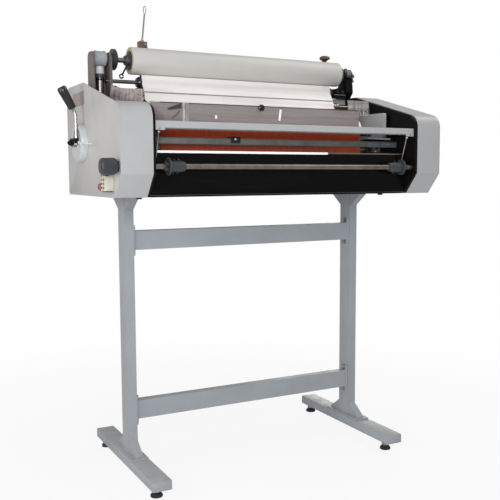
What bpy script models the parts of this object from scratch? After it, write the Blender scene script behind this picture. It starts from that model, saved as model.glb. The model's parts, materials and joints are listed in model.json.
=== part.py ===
"""Cold roll laminator on a T-leg stand: a head with two silicone nip rollers, film shafts, pressure lever.

X runs along the rollers, to the operator's right. Y runs to the back. Z is up, and the floor is Z = 0.
Everything hangs on one empty, whose X = 0 is the machine's middle plane and whose Y = 0 is the posts' centre.
"""
import math

import bmesh
import bpy
from mathutils import Matrix, Vector

# ---- driving dimensions, metres -------------------------------------------------------------------------
MIDDLE_X = 0.0370           # the middle plane, seen from the centre of the outer box
MIDDLE_Y = 0.0370           # the posts' centre, seen from the centre of the outer box
GAP = 0.0003                # clearance between pieces that touch
SHEET = 0.0020              # sheet metal of the covers and panels

# stand
TUBE_THIN = 0.030           # rectangular tube 60 x 30
TUBE_WIDE = 0.060
POST_X = 0.416
FOOT_FRONT = -0.2865
FOOT_BACK = 0.2760
FOOT_Z = 0.0325
FLANGE_T = 0.0050
HEAD_Z = 0.8790             # underside of the head
GUSSET_REACH = 0.087
GUSSET_H = 0.045
UPPER_BEAM_Z = 0.7090       # underside of each cross beam
LOWER_BEAM_Z = 0.1710
BEAM_Y = -0.007
LEVELLER_Y = (-0.235, 0.255)

# head outline, seen from the side
HEAD_HALF = 0.539
COVER_W = 0.091
HEAD_FRONT = -0.344
HEAD_BACK = 0.195
CHAMFER_Y = -0.289
CHAMFER_Z = 0.944
NOSE_Z = 1.125
NOSE_R = 0.046
RIDGE_Y = 0.003
RIDGE_Z = 1.2150
COVER_ARC_STEPS = 8
COVER_LIP = 0.004           # what is left of the left cover's top beside its outer face
COVER_OPEN_Y = (-0.292, 0.105)  # front and back ends of the left cover's open top
PLATE_T = 0.006
PLATE_X = 0.440             # inner face of the black side plates
EXIT_HALF = 0.385           # half width of the exit slot in the rear panel

# nip rollers
NIP_HALF = 0.356
ROLLER_R = 0.030
ROLLER_Y = -0.127
NIP_Z = 1.0500
CORE_R = 0.022
JOURNAL_R = 0.010
LOWER_Z = NIP_Z - ROLLER_R - GAP
UPPER_Z = NIP_Z + ROLLER_R + GAP
ARM_X = 0.417
ARM_T = 0.012
PIVOT_Y = 0.078
PIVOT_Z = 1.096
CAM_Y = 0.018
CAM_Z = 1.037
CAM_R = 0.018
CAM_THROW = 0.0024
CAM_SHAFT_R = 0.008

# pressure control on the left cover
DIAL_R = 0.058
DIAL_T = 0.020
LEVER_RISE = 0.086          # from the shaft to the crank in the lever
LEVER_LEAN = (-0.0335, 0.0620)
LEVER_ROD_R = 0.0046
LEVER_OFFSET = 0.020        # how far in front of the shaft the lever stands
GRIP_LENGTH = 0.070

# drive in the right cover
GEAR_MODULE = 0.003
GEAR_TEETH = 40
PINION_TEETH = 14
GEAR_T = 0.011
GEAR_X = 0.4500
MOTOR_ANGLE = math.radians(-60.0)
MOTOR_R = 0.040

# film shafts
FILM_Y = 0.035
FILM_Z = 1.293
FILM_HALF = 0.383
FILM_R = 0.042
CORE_BORE_R = 0.0270
SHAFT_R = 0.008
IDLER_Z = 1.228
IDLER_HALF = 0.348
IDLER_R = 0.011
GUIDE_Y = 0.012
GUIDE_Z = 1.178
GUIDE_R = 0.012
GUIDE_HALF = 0.364
STUB_R = 0.006
FRONT_SHAFT_Y = -0.322
FRONT_SHAFT_Z = 0.964
TAKEUP_Y = 0.125
TAKEUP_Z = 1.338
TAKEUP_X = (-0.308, 0.396)  # the two arms of the take-up fork
BRACKET_LEFT_X = (-0.505, -0.4463)
BRACKET_LEFT_Z = 1.150      # underside of the left bracket, inside the cover
BRACKET_RIGHT_X = (0.410, 0.439)
BRACKET_WALL = 0.006
BRACKET_FOOT = (0.358, 0.030)  # the right bracket's foot: its inner end and its height
BRAKE_X = -0.477            # the brake drum and the screw under it
DRUM_R = 0.023
WEB_HALF = 0.3480
WIRE_RISE = 0.130           # height of the twisted eye above its clamp

# front rails
BEAM_FRONT = -0.332
BEAM_BACK = -0.217
BEAM_Z = 1.0685
BEAM_H = 0.0185
BAR_Y = -0.235
BAR_Z = 1.038
BAR_HALF = 0.010            # half of the square feed bar
STAY_X = 0.4230
GUARD_X = (-0.4050, 0.3150)  # the clear guard's ends
GUARD_H = 0.056
CLIP_X = (-0.171, -0.141)   # the edge guide's ends

# controls on the left cover
BUTTON_Y = -0.196
BUTTON_Z = 0.940
BUTTON_R = 0.0095
INLET_Y = -0.262
INLET_Z = 0.917
INLET_R = 0.0125

# ---- materials: base colour, roughness, metallic ---------------------------------------------------------
FINISHES = {
    "stand_grey": ((0.36, 0.41, 0.46), 0.45, 0.0),
    "cover_grey": ((0.47, 0.50, 0.53), 0.42, 0.0),
    "black_plate": ((0.012, 0.010, 0.011), 0.30, 0.0),
    "rubber": ((0.02, 0.02, 0.02), 0.85, 0.0),
    "silicone": ((0.42, 0.07, 0.02), 0.55, 0.0),
    "steel": ((0.56, 0.55, 0.53), 0.32, 1.0),
    "aluminium": ((0.62, 0.63, 0.62), 0.38, 1.0),
    "dark_plastic": ((0.055, 0.06, 0.075), 0.45, 0.0),
    "black_plastic": ((0.015, 0.015, 0.016), 0.35, 0.0),
    "chrome": ((0.80, 0.80, 0.80), 0.12, 1.0),
    "film": ((0.74, 0.73, 0.72), 0.20, 0.0),
    "clear": ((0.82, 0.86, 0.84), 0.08, 0.0),
    "brass": ((0.55, 0.40, 0.22), 0.35, 1.0),
    "red_plastic": ((0.52, 0.14, 0.09), 0.40, 0.0),
    "cream_plastic": ((0.66, 0.62, 0.52), 0.50, 0.0),
}


def clear_scene():
    """Empty the scene, then make the collections and the empty that everything hangs on."""
    for obj in list(bpy.data.objects):
        bpy.data.objects.remove(obj, do_unlink=True)
    for name in ("cold_roll_laminator", "cutters"):
        collection = bpy.data.collections.new(name)
        bpy.context.scene.collection.children.link(collection)
    root = bpy.data.objects.new("laminator_frame", None)
    root.location = (MIDDLE_X, MIDDLE_Y, 0.0)
    bpy.data.collections["cold_roll_laminator"].objects.link(root)
    return root


ROOT = clear_scene()


def finish(name):
    """The Principled material of that name, made once."""
    material = bpy.data.materials.get(name)
    if material is None:
        colour, roughness, metallic = FINISHES[name]
        material = bpy.data.materials.new(name)
        material.use_nodes = True
        shader = material.node_tree.nodes["Principled BSDF"]
        shader.inputs["Base Color"].default_value = (*colour, 1.0)
        shader.inputs["Roughness"].default_value = roughness
        shader.inputs["Metallic"].default_value = metallic
        material.diffuse_color = (*colour, 1.0)
    return material


# ---- object helpers --------------------------------------------------------------------------------------
def place(name, data, material, at=(0.0, 0.0, 0.0), turn=(0.0, 0.0, 0.0)):
    """Put data in the scene under the frame empty. Without a material it's a cutter or a helper shape."""
    obj = bpy.data.objects.new(name, data)
    obj.parent = ROOT
    obj.location = at
    obj.rotation_euler = turn
    if material is None:
        bpy.data.collections["cutters"].objects.link(obj)
        obj.hide_render = True
        obj.display_type = "WIRE"
    else:
        bpy.data.collections["cold_roll_laminator"].objects.link(obj)
        data.materials.append(finish(material))
    return obj


def smooth(obj, angle=35.0):
    """Shade a round piece smooth and keep its edges sharp."""
    obj.data.shade_smooth()
    obj.data.set_sharp_from_angle(angle=math.radians(angle))
    return obj


def bevel(obj, width, segments=2):
    modifier = obj.modifiers.new("rounded_edges", "BEVEL")
    modifier.width = width
    modifier.segments = segments
    modifier.limit_method = "ANGLE"
    return obj


def boolean(obj, other, operation):
    modifier = obj.modifiers.new(operation.lower(), "BOOLEAN")
    modifier.operation = operation
    modifier.object = other
    return obj


def box(name, material, low, high, rounding=0.0):
    """A box between two corners, its origin at its centre."""
    centre = (Vector(low) + Vector(high)) / 2
    mesh = bpy.data.meshes.new(name)
    bm = bmesh.new()
    bmesh.ops.create_cube(bm, size=1.0)
    bmesh.ops.scale(bm, vec=Vector(high) - Vector(low), verts=bm.verts)
    bm.to_mesh(mesh)
    bm.free()
    obj = place(name, mesh, material, centre)
    if rounding:
        bevel(obj, rounding)
    return obj


AXIS_TURN = {
    "x": (0.0, math.pi / 2, 0.0),
    "-x": (0.0, -math.pi / 2, 0.0),
    "-y": (math.pi / 2, 0.0, 0.0),
    "z": (0.0, 0.0, 0.0),
}


def turned(name, material, profile, at, axis="x", steps=24):
    """A turned solid. profile holds (radius, distance along the axis), from the far end to the near end."""
    mesh = bpy.data.meshes.new(name)
    points = [(radius, 0.0, along) for radius, along in profile]
    edges = [(i, i + 1) for i in range(len(points) - 1)]
    if profile[0][0] > 0.0:
        edges.append((len(points) - 1, 0))
    mesh.from_pydata(points, edges, [])
    obj = place(name, mesh, material, at, AXIS_TURN[axis])
    screw = obj.modifiers.new("turn", "SCREW")
    screw.steps = steps
    screw.render_steps = steps
    screw.use_merge_vertices = True
    screw.merge_threshold = 0.00001
    screw.use_smooth_shade = True
    return obj


def rod(name, material, radius, x0, x1, y, z, steps=16, chamfer=0.0008):
    """A solid round bar along X with small chamfers at its ends."""
    profile = [
        (0.0, x1), (radius - chamfer, x1), (radius, x1 - chamfer),
        (radius, x0 + chamfer), (radius - chamfer, x0), (0.0, x0),
    ]
    return turned(name, material, profile, (0.0, y, z), "x", steps)


def ring(name, material, outer, inner, x0, x1, y, z, steps=28):
    """A round tube along X."""
    profile = [(inner, x1), (outer, x1), (outer, x0), (inner, x0)]
    return turned(name, material, profile, (0.0, y, z), "x", steps)


def cutter_x(radius, x0, x1, y, z, steps=20):
    """A round cutter along X."""
    profile = [(0.0, x1), (radius, x1), (radius, x0), (0.0, x0)]
    return turned("cutter", None, profile, (0.0, y, z), "x", steps)


def rounded(corners, steps=5):
    """Outline points of a polygon whose corners are (a, b, radius), with arcs at the rounded corners."""
    outline = []
    count = len(corners)
    for i, (a, b, radius) in enumerate(corners):
        here = Vector((a, b))
        if radius <= 0.0:
            outline.append(here)
            continue
        before = (Vector(corners[i - 1][:2]) - here).normalized()
        after = (Vector(corners[(i + 1) % count][:2]) - here).normalized()
        half = before.angle(after) / 2
        centre = here + (before + after).normalized() * radius / math.sin(half)
        start = here + before * radius / math.tan(half) - centre
        end = here + after * radius / math.tan(half) - centre
        sweep = start.angle_signed(end)
        for step in range(steps + 1):
            angle = -sweep * step / steps
            outline.append(centre + Matrix.Rotation(angle, 2) @ start)
    return outline


def outline_curve(points):
    curve = bpy.data.curves.new("outline", "CURVE")
    curve.dimensions = "2D"
    curve.fill_mode = "BOTH"
    spline = curve.splines.new("POLY")
    spline.points.add(len(points) - 1)
    for target, point in zip(spline.points, points):
        target.co = (point[0], point[1], 0.0, 1.0)
    spline.use_cyclic_u = True
    return curve


def solid_from_curve(name, material, curve, at, turn):
    """A curve's surface as one welded mesh object."""
    maker = place("curve", curve, None, at, turn)
    bpy.context.view_layer.update()
    evaluated = maker.evaluated_get(bpy.context.evaluated_depsgraph_get())
    mesh = bpy.data.meshes.new_from_object(evaluated)
    mesh.name = name
    bm = bmesh.new()
    bm.from_mesh(mesh)
    bmesh.ops.remove_doubles(bm, verts=bm.verts, dist=0.00001)
    bmesh.ops.recalc_face_normals(bm, faces=bm.faces)
    bm.to_mesh(mesh)
    bm.free()
    mesh.materials.clear()
    bpy.data.objects.remove(maker, do_unlink=True)
    return place(name, mesh, material, at, turn)


def plate_yz(name, material, points, x0, x1):
    """A flat plate with an outline in Y and Z, from x0 to x1."""
    curve = outline_curve(points)
    curve.extrude = (x1 - x0) / 2
    upright = (math.pi / 2, 0.0, math.pi / 2)
    return solid_from_curve(name, material, curve, ((x0 + x1) / 2, 0.0, 0.0), upright)


def round_bar(name, material, points, radius, resolution=4):
    """A round bar bent along a smooth line through points."""
    curve = bpy.data.curves.new(name, "CURVE")
    curve.dimensions = "3D"
    curve.bevel_depth = radius
    curve.bevel_resolution = resolution
    curve.use_fill_caps = True
    spline = curve.splines.new("POLY")
    spline.points.add(len(points) - 1)
    for target, point in zip(spline.points, points):
        target.co = (*point, 1.0)
    return smooth(solid_from_curve(name, material, curve, (0.0, 0.0, 0.0), (0.0, 0.0, 0.0)))


def side_name(base, side):
    return base + ("_left" if side < 0 else "_right")


def span(side, near, far):
    """The lower and the upper X of a stretch from near to far on one side of the middle plane."""
    return (side * far, side * near) if side < 0 else (near, far)


# ---- stand -----------------------------------------------------------------------------------------------
def foot_beam(side):
    half = TUBE_WIDE / 2
    low = (side * POST_X - half, FOOT_FRONT, FOOT_Z)
    high = (side * POST_X + half, FOOT_BACK, FOOT_Z + TUBE_THIN)
    box(side_name("foot_beam", side), "stand_grey", low, high, 0.003)


def leveller(side, y, place_name):
    """A levelling foot: a moulded pad, a lock nut and a stud that reaches the foot beam."""
    top = FOOT_Z - GAP
    profile = [
        (0.0, top), (0.005, top), (0.005, 0.021), (0.0095, 0.021), (0.0095, 0.014),
        (0.013, 0.012), (0.0185, 0.006), (0.0185, 0.001), (0.0175, 0.0), (0.0, 0.0),
    ]
    turned(side_name("leveller_" + place_name, side), "rubber", profile, (side * POST_X, y, 0.0), "z", 14)


def gusset_outline(z, direction):
    """A triangle with a blunt tip. direction is 1 where it rises from z and -1 where it hangs below z."""
    inner = TUBE_WIDE / 2 - 0.002
    reach = GUSSET_REACH
    rise = direction * GUSSET_H
    return [(inner, z), (reach, z), (reach, z + direction * 0.004), (inner, z + rise)]


def post(side):
    """An upright tube welded between a base plate and a top plate, with a gusset in front and behind."""
    x = side * POST_X
    half_x = TUBE_THIN / 2
    half_y = TUBE_WIDE / 2
    bottom = FOOT_Z + TUBE_THIN + GAP
    top = HEAD_Z - GAP
    low = (x - half_x, -half_y, bottom)
    column = box(side_name("post", side), "stand_grey", low, (x + half_x, half_y, top))
    for z in (bottom, top - FLANGE_T):
        low = (x - 0.026, -0.098, z)
        boolean(column, box("flange", None, low, (x + 0.026, 0.098, z + FLANGE_T)), "UNION")
    for z, direction in ((bottom + FLANGE_T - 0.001, 1), (top - FLANGE_T + 0.001, -1)):
        for mirror in (-1, 1):
            points = [(mirror * y, height) for y, height in gusset_outline(z, direction)]
            web = plate_yz("gusset", None, points, x - 0.013, x + 0.013)
            boolean(column, web, "UNION")


def cross_beam(name, z):
    """A tube between the posts with a bolted end plate at each end."""
    inner = POST_X - TUBE_THIN / 2 - GAP
    half_y = TUBE_THIN / 2
    low = (-inner, BEAM_Y - half_y, z)
    beam = box(name, "stand_grey", low, (inner, BEAM_Y + half_y, z + TUBE_WIDE))
    for side in (-1, 1):
        x0, x1 = span(side, inner - FLANGE_T, inner)
        low = (x0, BEAM_Y - 0.020, z - 0.017)
        end_plate = box("end_plate", None, low, (x1, BEAM_Y + 0.020, z + TUBE_WIDE + 0.017))
        boolean(beam, end_plate, "UNION")


def build_stand():
    for side in (-1, 1):
        foot_beam(side)
        for y, place_name in zip(LEVELLER_Y, ("front", "rear")):
            leveller(side, y, place_name)
        post(side)
    cross_beam("upper_cross_beam", UPPER_BEAM_Z)
    cross_beam("lower_cross_beam", LOWER_BEAM_Z)


# ---- head: plates, covers and panels ---------------------------------------------------------------------
def head_corners(inset=0.0):
    """The head's side outline, front edge first, moved inwards by inset."""
    lean = inset * math.tan(math.radians(25.0))
    return [
        (CHAMFER_Y + lean, HEAD_Z + inset, 0.004),
        (HEAD_FRONT + inset, CHAMFER_Z + lean, 0.006),
        (HEAD_FRONT + inset, NOSE_Z - inset * 0.8, NOSE_R - inset),
        (RIDGE_Y, RIDGE_Z - inset, 0.040),
        (HEAD_BACK - inset, RIDGE_Z - inset, 0.025 - inset),
        (HEAD_BACK - inset, HEAD_Z + inset, 0.006),
    ]


def cover(side):
    """A sheet cover: an outer face with a rim all round it, open towards the side plate."""
    points = rounded(head_corners(), COVER_ARC_STEPS)
    inner_x = side * (HEAD_HALF - COVER_W)
    outer_x = side * HEAD_HALF
    mesh = bpy.data.meshes.new("cover")
    bm = bmesh.new()
    rim = [bm.verts.new((inner_x, y, z)) for y, z in points]
    edge = [bm.verts.new((outer_x, y, z)) for y, z in points]
    for i in range(len(points)):
        j = (i + 1) % len(points)
        bm.faces.new((rim[i], rim[j], edge[j], edge[i]))
    bm.faces.new(rim)
    cap = bm.faces.new(edge)
    bmesh.ops.bevel(bm, geom=list(cap.edges), offset=0.004, segments=3, profile=0.5, affect="EDGES")
    bmesh.ops.recalc_face_normals(bm, faces=bm.faces)
    bm.to_mesh(mesh)
    bm.free()
    shell = smooth(place(side_name("cover", side), mesh, "cover_grey"), 40.0)
    x0, x1 = span(side, HEAD_HALF - COVER_W - 0.01, HEAD_HALF - SHEET)
    hollow = plate_yz("hollow", None, rounded(head_corners(SHEET), COVER_ARC_STEPS), x0, x1)
    return boolean(shell, hollow, "DIFFERENCE")


def side_plate(side):
    """A black plate just inside the cover's rim, with holes for the shafts that pass it."""
    points = rounded(head_corners(SHEET + 0.0008))
    x0, x1 = span(side, PLATE_X, PLATE_X + PLATE_T)
    plate = plate_yz(side_name("side_plate", side), "black_plate", points, x0, x1)
    holes = [
        (ROLLER_Y, LOWER_Z, 0.0185),
        (CAM_Y, CAM_Z, CAM_SHAFT_R + 0.0005),
        (PIVOT_Y, PIVOT_Z, JOURNAL_R + 0.0005),
        (FRONT_SHAFT_Y, FRONT_SHAFT_Z, SHAFT_R + 0.0005),
        (GUIDE_Y, GUIDE_Z, STUB_R + 0.0005),
    ]
    if side > 0:
        holes.append((*motor_axis(), 0.012))
    for y, z, radius in holes:
        boolean(plate, cutter_x(radius, x0 - 0.01, x1 + 0.01, y, z), "DIFFERENCE")
    return plate


def folded_sheet(name, material, path, x0, x1, thickness=SHEET):
    """Sheet metal folded along X: path holds (y, z) on its outer face, which lies left of the path."""
    mesh = bpy.data.meshes.new(name)
    bm = bmesh.new()
    left = [bm.verts.new((x0, y, z)) for y, z in path]
    right = [bm.verts.new((x1, y, z)) for y, z in path]
    for i in range(len(path) - 1):
        bm.faces.new((left[i], right[i], right[i + 1], left[i + 1]))
    bm.to_mesh(mesh)
    bm.free()
    sheet = place(name, mesh, material)
    solidify = sheet.modifiers.new("sheet", "SOLIDIFY")
    solidify.thickness = thickness
    solidify.offset = -1.0
    solidify.use_even_offset = True
    return sheet


def head_panels():
    """The base plate, the glossy front panel, and the rear panel with its fold on top and its exit slot."""
    reach = PLATE_X - GAP
    low = (-reach, CHAMFER_Y + 0.012, HEAD_Z)
    box("base_plate", "black_plate", low, (reach, HEAD_BACK - 0.006, HEAD_Z + 0.004))
    front = [
        (CHAMFER_Y + 0.010, HEAD_Z + 0.0045), (CHAMFER_Y, HEAD_Z + 0.0045),
        (CHAMFER_Y, 1.0080), (CHAMFER_Y + 0.022, 1.0080),
    ]
    folded_sheet("front_panel", "black_plate", front, -reach, reach)
    rear = [
        (0.062, RIDGE_Z - 0.024), (0.062, RIDGE_Z - 0.004),
        (HEAD_BACK - 0.010, RIDGE_Z - 0.004), (HEAD_BACK - 0.004, RIDGE_Z - 0.010),
        (HEAD_BACK - 0.004, HEAD_Z + 0.0045), (HEAD_BACK - 0.020, HEAD_Z + 0.0045),
    ]
    panel = folded_sheet("rear_panel", "cover_grey", rear, -reach, reach)
    low = (-EXIT_HALF, HEAD_BACK - 0.02, NIP_Z - 0.022)
    boolean(panel, box("exit_slot", None, low, (EXIT_HALF, HEAD_BACK + 0.02, NIP_Z + 0.022)), "DIFFERENCE")


def build_head():
    """The left cover's top is open behind its nose, where the supply bracket comes out."""
    left = cover(-1)
    cover(1)
    low = (COVER_LIP - HEAD_HALF, COVER_OPEN_Y[0], NOSE_Z - 0.020)
    open_top = box("open_top", None, low, (-PLATE_X, COVER_OPEN_Y[1], RIDGE_Z + 0.010))
    boolean(left, open_top, "DIFFERENCE")
    for y, z, radius in (
        (CAM_Y, CAM_Z, CAM_SHAFT_R + 0.0005),
        (FRONT_SHAFT_Y, FRONT_SHAFT_Z, SHAFT_R + 0.0005),
        (BUTTON_Y, BUTTON_Z, BUTTON_R + 0.0005),
        (INLET_Y, INLET_Z, INLET_R + 0.0005),
    ):
        boolean(left, cutter_x(radius, -HEAD_HALF - 0.01, -HEAD_HALF + 0.01, y, z), "DIFFERENCE")
    side_plate(-1)
    side_plate(1)
    head_panels()


# ---- nip rollers, their arms and the pressure cams -------------------------------------------------------
def stepped_shaft(name, core_half, left_end, right_end, y, z):
    """A steel core as long as its silicone sleeve, with a thinner journal at each end."""
    profile = [
        (0.0, right_end), (JOURNAL_R, right_end), (JOURNAL_R, core_half),
        (CORE_R, core_half), (CORE_R, -core_half),
        (JOURNAL_R, -core_half), (JOURNAL_R, left_end), (0.0, left_end),
    ]
    turned(name, "steel", profile, (0.0, y, z))


def flange_bearing(side):
    """A flanged bearing housing that sits in the side plate and carries a lower roller journal."""
    bore = JOURNAL_R + GAP
    seat = PLATE_X - GAP
    profile = [
        (bore, PLATE_X + PLATE_T), (0.018, PLATE_X + PLATE_T), (0.018, seat), (0.029, seat),
        (0.029, seat - 0.003), (0.020, seat - 0.008), (bore, seat - 0.008),
    ]
    axis = "-x" if side < 0 else "x"
    turned(side_name("lower_bearing", side), "steel", profile, (0.0, ROLLER_Y, LOWER_Z), axis)


def roller_arm(side):
    """A painted plate that carries one upper roller journal and hinges on the arm pivot shaft."""
    corners = [
        (-0.200, 1.062, 0.006), (-0.200, 1.145, 0.006), (-0.030, 1.145, 0.020),
        (0.098, 1.122, 0.014), (0.098, 1.078, 0.014), (0.040, CAM_Z + CAM_R - CAM_THROW * 0.7 + 0.001, 0.0),
        (-0.040, CAM_Z + CAM_R - CAM_THROW * 0.7 + 0.001, 0.020), (-0.080, 1.062, 0.008),
    ]
    x0, x1 = span(side, ARM_X, ARM_X + ARM_T)
    arm = plate_yz(side_name("roller_arm", side), "cover_grey", rounded(corners), x0, x1)
    for y, z in ((ROLLER_Y, UPPER_Z), (PIVOT_Y, PIVOT_Z)):
        boolean(arm, cutter_x(JOURNAL_R + GAP, x0 - 0.01, x1 + 0.01, y, z), "DIFFERENCE")


def cam_shaft():
    """The cross shaft under the arms, with an eccentric cam at each arm and a stub for the lever."""
    shaft = rod("cam_shaft", "steel", CAM_SHAFT_R, -0.5760, 0.4520, CAM_Y, CAM_Z)
    lean = math.radians(45.0)
    y = CAM_Y - CAM_THROW * math.cos(lean)
    z = CAM_Z - CAM_THROW * math.sin(lean)
    for side in (-1, 1):
        x0, x1 = span(side, ARM_X + 0.001, ARM_X + ARM_T - 0.001)
        profile = [(0.0, x1), (CAM_R, x1), (CAM_R, x0), (0.0, x0)]
        boolean(shaft, turned("cam", None, profile, (0.0, y, z)), "UNION")


def build_nip():
    for name, z in (("lower_roller_sleeve", LOWER_Z), ("upper_roller_sleeve", UPPER_Z)):
        ring(name, "silicone", ROLLER_R, CORE_R + GAP, -NIP_HALF, NIP_HALF, ROLLER_Y, z, 32)
    stepped_shaft("lower_roller_shaft", NIP_HALF + 0.002, -0.4490, 0.4660, ROLLER_Y, LOWER_Z)
    stepped_shaft("upper_roller_shaft", NIP_HALF + 0.002, -0.4340, 0.4340, ROLLER_Y, UPPER_Z)
    for side in (-1, 1):
        flange_bearing(side)
        roller_arm(side)
    rod("arm_pivot_shaft", "steel", JOURNAL_R, -0.4500, 0.4500, PIVOT_Y, PIVOT_Z)
    cam_shaft()


def build_pressure_control():
    """The round dial on the left cover, and the cranked lever with its grip."""
    face = -HEAD_HALF - GAP
    bore = CAM_SHAFT_R + 0.0005
    profile = [
        (bore, DIAL_T), (DIAL_R - 0.003, DIAL_T), (DIAL_R, DIAL_T - 0.003), (DIAL_R, 0.0), (bore, 0.0),
    ]
    turned("pressure_dial", "cover_grey", profile, (face, CAM_Y, CAM_Z), "-x", 40)
    hub_x = face - DIAL_T - GAP
    hub_t = 0.013
    bore = CAM_SHAFT_R + GAP
    hub = ring("pressure_lever", "chrome", 0.0125, bore, hub_x - hub_t, hub_x, CAM_Y, CAM_Z, 24)
    rod_y = CAM_Y - LEVER_OFFSET
    low = (hub_x - hub_t, rod_y - 0.008, CAM_Z - 0.006)
    ear = box("ear", None, low, (hub_x, CAM_Y - bore, CAM_Z + 0.010))
    boolean(hub, ear, "UNION")
    start = Vector((hub_x - 0.005, rod_y, CAM_Z + 0.002))
    bend = Vector((start.x, rod_y, CAM_Z + LEVER_RISE))
    up = Vector((0.0, 0.0, 1.0))
    lean = Vector((LEVER_LEAN[0], 0.0, LEVER_LEAN[1])).normalized()
    bend_reach = 0.012
    bend_steps = 6
    points = [start]
    for step in range(bend_steps + 1):
        t = step / bend_steps
        before = bend - up * bend_reach * (1 - t)
        after = bend + lean * bend_reach * t
        points.append(before.lerp(after, t))
    grip_start = bend + lean * 0.016
    rod_in_grip = 0.020
    points.append(grip_start + lean * rod_in_grip)
    boolean(hub, round_bar("lever_rod", None, points, LEVER_ROD_R, 3), "UNION")
    profile = [
        (0.0, GRIP_LENGTH), (0.0105, GRIP_LENGTH), (0.0140, GRIP_LENGTH - 0.005),
        (0.0140, GRIP_LENGTH - 0.013), (0.0115, 0.003), (0.0100, 0.0), (LEVER_ROD_R + GAP, 0.0),
        (LEVER_ROD_R + GAP, rod_in_grip + GAP), (0.0, rod_in_grip + GAP),
    ]
    grip = turned("lever_grip", "black_plastic", profile, grip_start, "z", 24)
    grip.rotation_euler = (0.0, math.atan2(lean.x, lean.z), 0.0)


# ---- drive -----------------------------------------------------------------------------------------------
def motor_axis():
    """Where the pinion meshes with the roller gear."""
    distance = GEAR_MODULE * (GEAR_TEETH + PINION_TEETH) / 2 + GAP
    y = ROLLER_Y + distance * math.cos(MOTOR_ANGLE)
    z = LOWER_Z + distance * math.sin(MOTOR_ANGLE)
    return y, z


def gear(name, teeth, bore, x0, x1, y, z, phase):
    """A spur gear with trapezoid teeth. phase is the direction of one tooth's middle, in radians."""
    pitch = GEAR_MODULE * teeth / 2
    tip = pitch + GEAR_MODULE * 0.9
    root = pitch - GEAR_MODULE * 1.2
    step = 2 * math.pi / teeth
    points = []
    for tooth in range(teeth):
        middle = phase + tooth * step
        for radius, share in ((root, -0.36), (tip, -0.12), (tip, 0.12), (root, 0.36)):
            angle = middle + share * step
            points.append((y + radius * math.cos(angle), z + radius * math.sin(angle)))
    wheel = plate_yz(name, "steel", points, x0, x1)
    boolean(wheel, cutter_x(bore, x0 - 0.01, x1 + 0.01, y, z, 24), "DIFFERENCE")


def build_drive():
    """A gear motor on the right side plate, its pinion, and the gear on the lower roller."""
    y, z = motor_axis()
    x1 = PLATE_X - GAP
    profile = [
        (0.0, 0.475), (0.007, 0.475), (0.007, x1 + 0.009), (0.011, x1 + 0.009), (0.011, x1),
        (MOTOR_R + 0.004, x1), (MOTOR_R + 0.004, x1 - 0.045), (MOTOR_R - 0.004, x1 - 0.047),
        (MOTOR_R - 0.004, x1 - 0.130), (MOTOR_R - 0.012, x1 - 0.136), (0.0, x1 - 0.136),
    ]
    turned("gear_motor", "dark_plastic", profile, (0.0, y, z))
    gear_x1 = GEAR_X + GEAR_T
    gear("roller_gear", GEAR_TEETH, JOURNAL_R + GAP, GEAR_X, gear_x1, ROLLER_Y, LOWER_Z, MOTOR_ANGLE)
    half_tooth = math.pi / PINION_TEETH
    phase = MOTOR_ANGLE + math.pi + half_tooth
    gear("motor_pinion", PINION_TEETH, 0.007 + GAP, GEAR_X, gear_x1, y, z, phase)


# ---- film supply -----------------------------------------------------------------------------------------
def supply_bracket_left():
    """An upright channel on the left side plate, open to the front, that holds the shaft's outer bearing."""
    x0, x1 = BRACKET_LEFT_X
    y0, y1 = FILM_Y - 0.026, FILM_Y + 0.032
    bottom = BRACKET_LEFT_Z
    top = FILM_Z + 0.020
    corners = [(y0, bottom, 0.0), (y1, bottom, 0.0), (y1, top, 0.018), (y0, top, 0.018)]
    body = plate_yz("supply_bracket_left", "cover_grey", rounded(corners), x0, x1)
    wall = BRACKET_WALL
    pocket = box("pocket", None, (x0 + wall, y0 - 0.01, bottom + wall), (x1 - wall, y1 - wall, top + 0.01))
    boolean(body, pocket, "DIFFERENCE")
    for z, radius in ((FILM_Z, SHAFT_R), (IDLER_Z, STUB_R)):
        hole = cutter_x(radius + 0.0005, x1 - 0.03, x1 + 0.01, FILM_Y, z)
        boolean(body, hole, "DIFFERENCE")
    low = (BRAKE_X - 0.0065, FILM_Y - 0.0065, bottom - 0.01)
    screw_hole = box("slot", None, low, (BRAKE_X + 0.0065, FILM_Y + 0.0065, bottom + wall + 0.01))
    boolean(body, screw_hole, "DIFFERENCE")


def supply_bracket_right():
    """A cast saddle bracket at the head's top, with a foot towards the middle that holds the idler."""
    base = RIDGE_Z - 0.004 + GAP
    shaft_top = FILM_Z + 0.016
    corners = [
        (FILM_Y - 0.006, base, 0.0), (FILM_Y + 0.045, base, 0.0),
        (FILM_Y + 0.040, base + 0.020, 0.010), (FILM_Y + 0.020, FILM_Z - 0.010, 0.010),
        (FILM_Y + 0.018, shaft_top, 0.015), (FILM_Y - 0.018, shaft_top, 0.015),
        (FILM_Y - 0.018, FILM_Z - 0.010, 0.010), (FILM_Y - 0.024, base + 0.020, 0.010),
    ]
    x0, x1 = BRACKET_RIGHT_X
    body = plate_yz("supply_bracket_right", "black_plate", rounded(corners), x0, x1)
    inner_end, height = BRACKET_FOOT
    foot = box("foot", None, (inner_end, FILM_Y - 0.015, base), (x0 + 0.005, FILM_Y + 0.020, base + height))
    boolean(body, foot, "UNION")
    boolean(body, cutter_x(SHAFT_R + 0.0005, x0 - 0.01, x1 + 0.01, FILM_Y, FILM_Z), "DIFFERENCE")
    boolean(body, cutter_x(STUB_R + 0.0005, inner_end - 0.01, x1 + 0.01, FILM_Y, IDLER_Z), "DIFFERENCE")


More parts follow.
